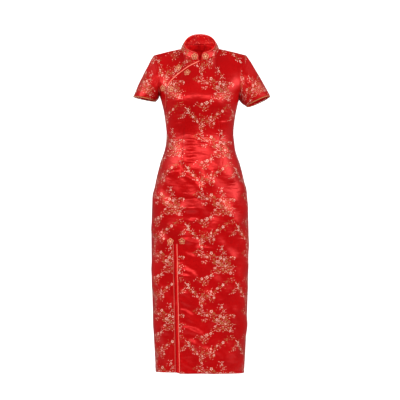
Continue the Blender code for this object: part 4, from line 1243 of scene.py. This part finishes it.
# Piping: rolled cord sewn along the edges
piping = {"radius": 0.0015, "lift": 0.0004, "step": 0.0022, "pucker": 0.05, "shadedBelow": -0.136,
          "belowHem": 0.0105, "slitStep": -0.004}


def pipingPiece(name, path, outward, material, cadNode, closed=False):
    # a puckered cord in place of the CAD one
    piece = cordAlong(name, path, outward, piping["radius"], material, closed, piping["pucker"])
    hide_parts(cadNode)
    return piece


def frontRoute(x, z):
    # a cord's route and its outward directions, lying on the front's cloth
    points, normals = frontAt(x, z)
    lift = piping["radius"] + piping["lift"] + frontGrooves(points)
    route = evenly(np.concatenate([points + normals * lift[:, None], normals], 1), piping["step"])
    return route[:, :3], unit(route[:, 3:])


def collarRoute(sheet, side):
    # round the collar's rim from the centre back, then down its front end
    middle, facing = sheet["grid"] - sheet["normals"] * collarThickness / 2, sheet["normals"]
    if side == "right":
        middle, facing = middle[:, ::-1], facing[:, ::-1]
    rimOut, endOut = unit(middle[-1] - middle[-2])[::-1], unit(middle[:, 0] - middle[:, 1])[::-1]
    route = np.concatenate([middle[-1, ::-1], middle[-2:0:-1, 0]])
    outs = np.concatenate([rimOut, endOut[1:-1]])
    outward = np.concatenate([facing[-1, ::-1], facing[-2:0:-1, 0]])
    made = evenly(np.concatenate([route, outs, outward], 1), piping["step"])
    return made[:, :3] + unit(made[:, 3:6]) * (piping["radius"] + piping["lift"]), unit(made[:, 6:])


closingRoute = closingLine()
top, low = closing["corded"]
closingRoute = closingRoute[(closingRoute[:, 1] < top) & (closingRoute[:, 1] > low)]
closingCord = pipingPiece("piping_closing_cord", *frontRoute(*closingRoute.T), pipingSatin, "piping_closing")
# the lower end, under the arm, gets the darker copy: painted shade
closingCord.data.materials.append(pipingShaded)
faceMiddles = np.zeros(len(closingCord.data.polygons) * 3, np.float32)
closingCord.data.polygons.foreach_get("center", faceMiddles)
isLow = faceMiddles.reshape(-1, 3)[:, 2] < piping["shadedBelow"]
closingCord.data.polygons.foreach_set("material_index", isLow.astype(np.int32))
# the slit's cords are darker copies of the piping, painted shade, the left one darker still
for edge, outward, material in (("left", -1, pipingShaded), ("right", 1, pipingRose)):
    z = np.arange(slit["topZ"], body["z"][0] + piping["belowHem"], piping["slitStep"])
    x = slitX(edge, z) + outward * piping["radius"]
    pipingPiece(f"piping_slit_{edge}_cord", *frontRoute(x, z), material, f"piping_slit_{edge}")
# the collar cords are the redder copy of the piping, painted shade
for side in sideSign:
    edge, beyond, normals = cuffEdges[side]
    path = edge - normals * clothThickness / 2 + beyond * (piping["radius"] + piping["lift"])
    pipingPiece(f"piping_cuff_{side}_cord", path, normals, cuffCord, f"piping_cuff_{side}", True)
    pipingPiece(f"piping_collar_{side}_cord", *collarRoute(collarSheets[side], side), pipingRed,
                f"piping_collar_{side}")
print("piping: 7 cords")


# Flower frogs: five raised petals edged with gold cord round a small knot
frog = {"petals": 5, "petalAt": 0.0068, "petalLong": 0.0047, "petalWide": 0.0039, "raise": 0.0016,
        "flatness": 0.97, "around": 16, "rings": 4, "cord": 0.00065, "cordAround": 6, "knot": 0.0021,
        "knotTall": 1.1, "knotRings": 4, "lift": 0.0006, "collarAngle": 18, "collarRise": 0.45}
frogPlaces = {"frog_chest_upper": (-0.0785, -0.0690), "frog_chest_lower": (-0.0465, -0.0890),
              "frog_side_front": (-0.1055, -0.1500), "frog_side_arm": (-0.1350, -0.1440),
              "frog_slit_left": (-0.1070, -0.7030), "frog_slit_right": (-0.0650, -0.7010)}


def capped(rings, tip):
    # a stack of rings closed by a fan to one point
    around = rings.shape[1]
    points = np.concatenate([rings.reshape(-1, 3), [tip]])
    last = (len(rings) - 1) * around + np.arange(around)
    fan = np.stack([last, np.roll(last, -1), np.full(around, len(points) - 1)], 1)
    return points, np.concatenate([gridFaces(len(rings), around, True), fan])


def frogShape():
    # all petals, cords and the knot about one middle, with 0 for satin and 1 for gold
    turn = np.linspace(0, 2 * math.pi, frog["around"] + 1)[:-1]
    long, wide = frog["petalLong"], frog["petalWide"]
    # a petal is an ellipse whose height falls off as a quarter circle towards its edge
    rings = np.linspace(0, 1, frog["rings"])[1:, None]
    petal = np.stack([long * np.cos(turn) * rings, wide * np.sin(turn) * rings,
                      frog["raise"] * np.sqrt(1 - (rings * frog["flatness"]) ** 2) + 0 * turn], -1)[::-1]
    petalPoints, petalFaces = capped(petal, (0, 0, frog["raise"]))
    # its cord is a ring carried round that ellipse
    around = frog["cordAround"]
    section = np.linspace(0, 2 * math.pi, around + 1)[:-1, None, None]
    centreLine = np.stack([long * np.cos(turn), wide * np.sin(turn), np.full(len(turn), frog["cord"])], -1)
    away = unit(np.stack([np.cos(turn) / long, np.sin(turn) / wide, 0 * turn], -1))
    loop = centreLine + frog["cord"] * (np.cos(section) * away + np.sin(section) * np.array([0, 0, 1.0]))
    loopFaces = gridFaces(around + 1, frog["around"], True)[:, ::-1] % (around * frog["around"])
    parts = []
    for i in range(frog["petals"]):
        matrix = turning(2 * math.pi * i / frog["petals"] + math.pi / 2)
        for shape, faces, kind in ((petalPoints, petalFaces, 0), (loop.reshape(-1, 3), loopFaces, 1)):
            parts.append(((shape + (frog["petalAt"], 0, 0)) @ matrix, faces, np.full(len(faces), kind)))
    # the knot is half an egg
    rise = np.linspace(0, math.pi / 2, frog["knotRings"] + 1)[:-1, None]
    tall = frog["knot"] * frog["knotTall"]
    knot = np.stack([frog["knot"] * np.cos(rise) * np.cos(turn), frog["knot"] * np.cos(rise) * np.sin(turn),
                     tall * np.sin(rise) + 0 * turn], -1)
    knotPoints, knotFaces = capped(knot, (0, 0, tall))
    return joined(parts + [(knotPoints, knotFaces, np.ones(len(knotFaces), int))])


frogPoints, frogFaces, frogKinds = frogShape()


def frogPiece(name, point, normal):
    # the frog laid on the cloth at a point, facing along its normal, with its middle upright
    right = unit(np.cross([0, 0, 1.0], normal))
    basis = np.stack([right, np.cross(normal, right), normal])
    points = frogPoints @ basis + point + normal * frog["lift"]
    piece = addMesh(f"{name}_knot", points, frogFaces, None, (petalSatin, goldCord), frogKinds)
    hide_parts(name)


for name, (x, z) in frogPlaces.items():
    point, normal = frontAt(np.array([x]), np.array([z]))
    frogPiece(name, point[0], normal[0])
for side in sideSign:
    angle, rise = np.array(math.radians(frog["collarAngle"])), frog["collarRise"]
    aim = (neckPoint(angle) * (1 - rise) + rimPoint(angle) * rise) * (sideSign[side], 1, 1)
    points, normals = collarSheets[side]["grid"].reshape(-1, 3), collarSheets[side]["normals"].reshape(-1, 3)
    nearest = np.argmin(np.linalg.norm(points - aim, axis=-1))
    frogPiece(f"frog_collar_{side}", points[nearest], normals[nearest])
print("frogs: 8, of", len(frogFaces), "triangles each")


# White sweep, soft light from the front and above
stagePlan = {"floorZ": -1.62, "size": 3.2, "wallY": 7.5, "wallSize": 4.6, "floor": "#F2F2F0",
             "wall": "#F4F4F2", "paler": "#FBFBFA", "blotch": 3.0, "roughness": 0.9, "wallGlow": 1.0,
             "sky": 0.22}


def plainPlane(name, corners, colour, glow):
    # matt painted paper, faintly blotched
    mesh = bpy.data.meshes.new(name)
    mesh.from_pydata(corners, [], [(0, 1, 2, 3)])
    piece = bpy.data.objects.new(name, mesh)
    bpy.context.scene.collection.objects.link(piece)
    material, tree, shader = newMaterial(f"{name}_paint")
    where = node(tree, "ShaderNodeTexCoord")
    grain = node(tree, "ShaderNodeTexNoise", {"Vector": where.outputs["Object"],
                                              "Scale": stagePlan["blotch"]})
    tone = node(tree, "ShaderNodeMix", {0: grain.outputs["Fac"], 6: linear(colour),
                                        7: linear(stagePlan["paler"])}, data_type="RGBA")
    tree.links.new(tone.outputs[2], shader.inputs["Base Color"])
    shader.inputs["Roughness"].default_value = stagePlan["roughness"]
    shader.inputs["Emission Color"].default_value = (1, 1, 1, 1)
    shader.inputs["Emission Strength"].default_value = glow
    mesh.materials.append(material)


half, low = stagePlan["size"] / 2, stagePlan["floorZ"]
plainPlane("floor", [(-half, -half, low), (half, -half, low), (half, half, low), (-half, half, low)],
           stagePlan["floor"], 0.0)
wide, far, middleZ = stagePlan["wallSize"] / 2, stagePlan["wallY"], cameraPlan["height"]
plainPlane("backdrop", [(-wide, far, middleZ - wide), (wide, far, middleZ - wide),
                        (wide, far, middleZ + wide), (-wide, far, middleZ + wide)],
           stagePlan["wall"], stagePlan["wallGlow"])

world = bpy.data.worlds.new("studio")
world.use_nodes = True
world.node_tree.nodes["Background"].inputs["Color"].default_value = (1, 1, 1, 1)
world.node_tree.nodes["Background"].inputs["Strength"].default_value = stagePlan["sky"]
bpy.context.scene.world = world
bpy.context.scene.view_settings.view_transform = "Standard"

lamps = {  # place, aim, width, height and power of each soft light
    "key": ((-0.3, -4.0, 0.75), (0.0, 0.0, -0.40), 3.2, 0.40, 101.0),
    "right": ((2.6, -1.5, 0.62), (0.0, 0.0, -0.35), 1.1, 1.9, 92.0),
    "left": ((-2.6, -1.5, 0.80), (0.0, 0.0, -0.35), 1.1, 1.4, 86.0),
    "back": ((0.4, 4.4, 0.9), (0.0, 0.0, -0.45), 2.4, 1.8, 50.0),
}
for name, (place, aim, width, height, power) in lamps.items():
    data = bpy.data.lights.new(name, "AREA")
    data.shape = "RECTANGLE"
    data.size, data.size_y = width, height
    data.energy = power
    lamp = bpy.data.objects.new(name, data)
    lamp.location = place
    direction = unit(np.array(aim) - np.array(place))
    pitch = math.acos(-direction[2])
    lamp.rotation_euler = (pitch, 0, math.atan2(-direction[0], direction[1]))
    bpy.context.scene.collection.objects.link(lamp)
print("stage: floor, backdrop and", len(lamps), "lamps")
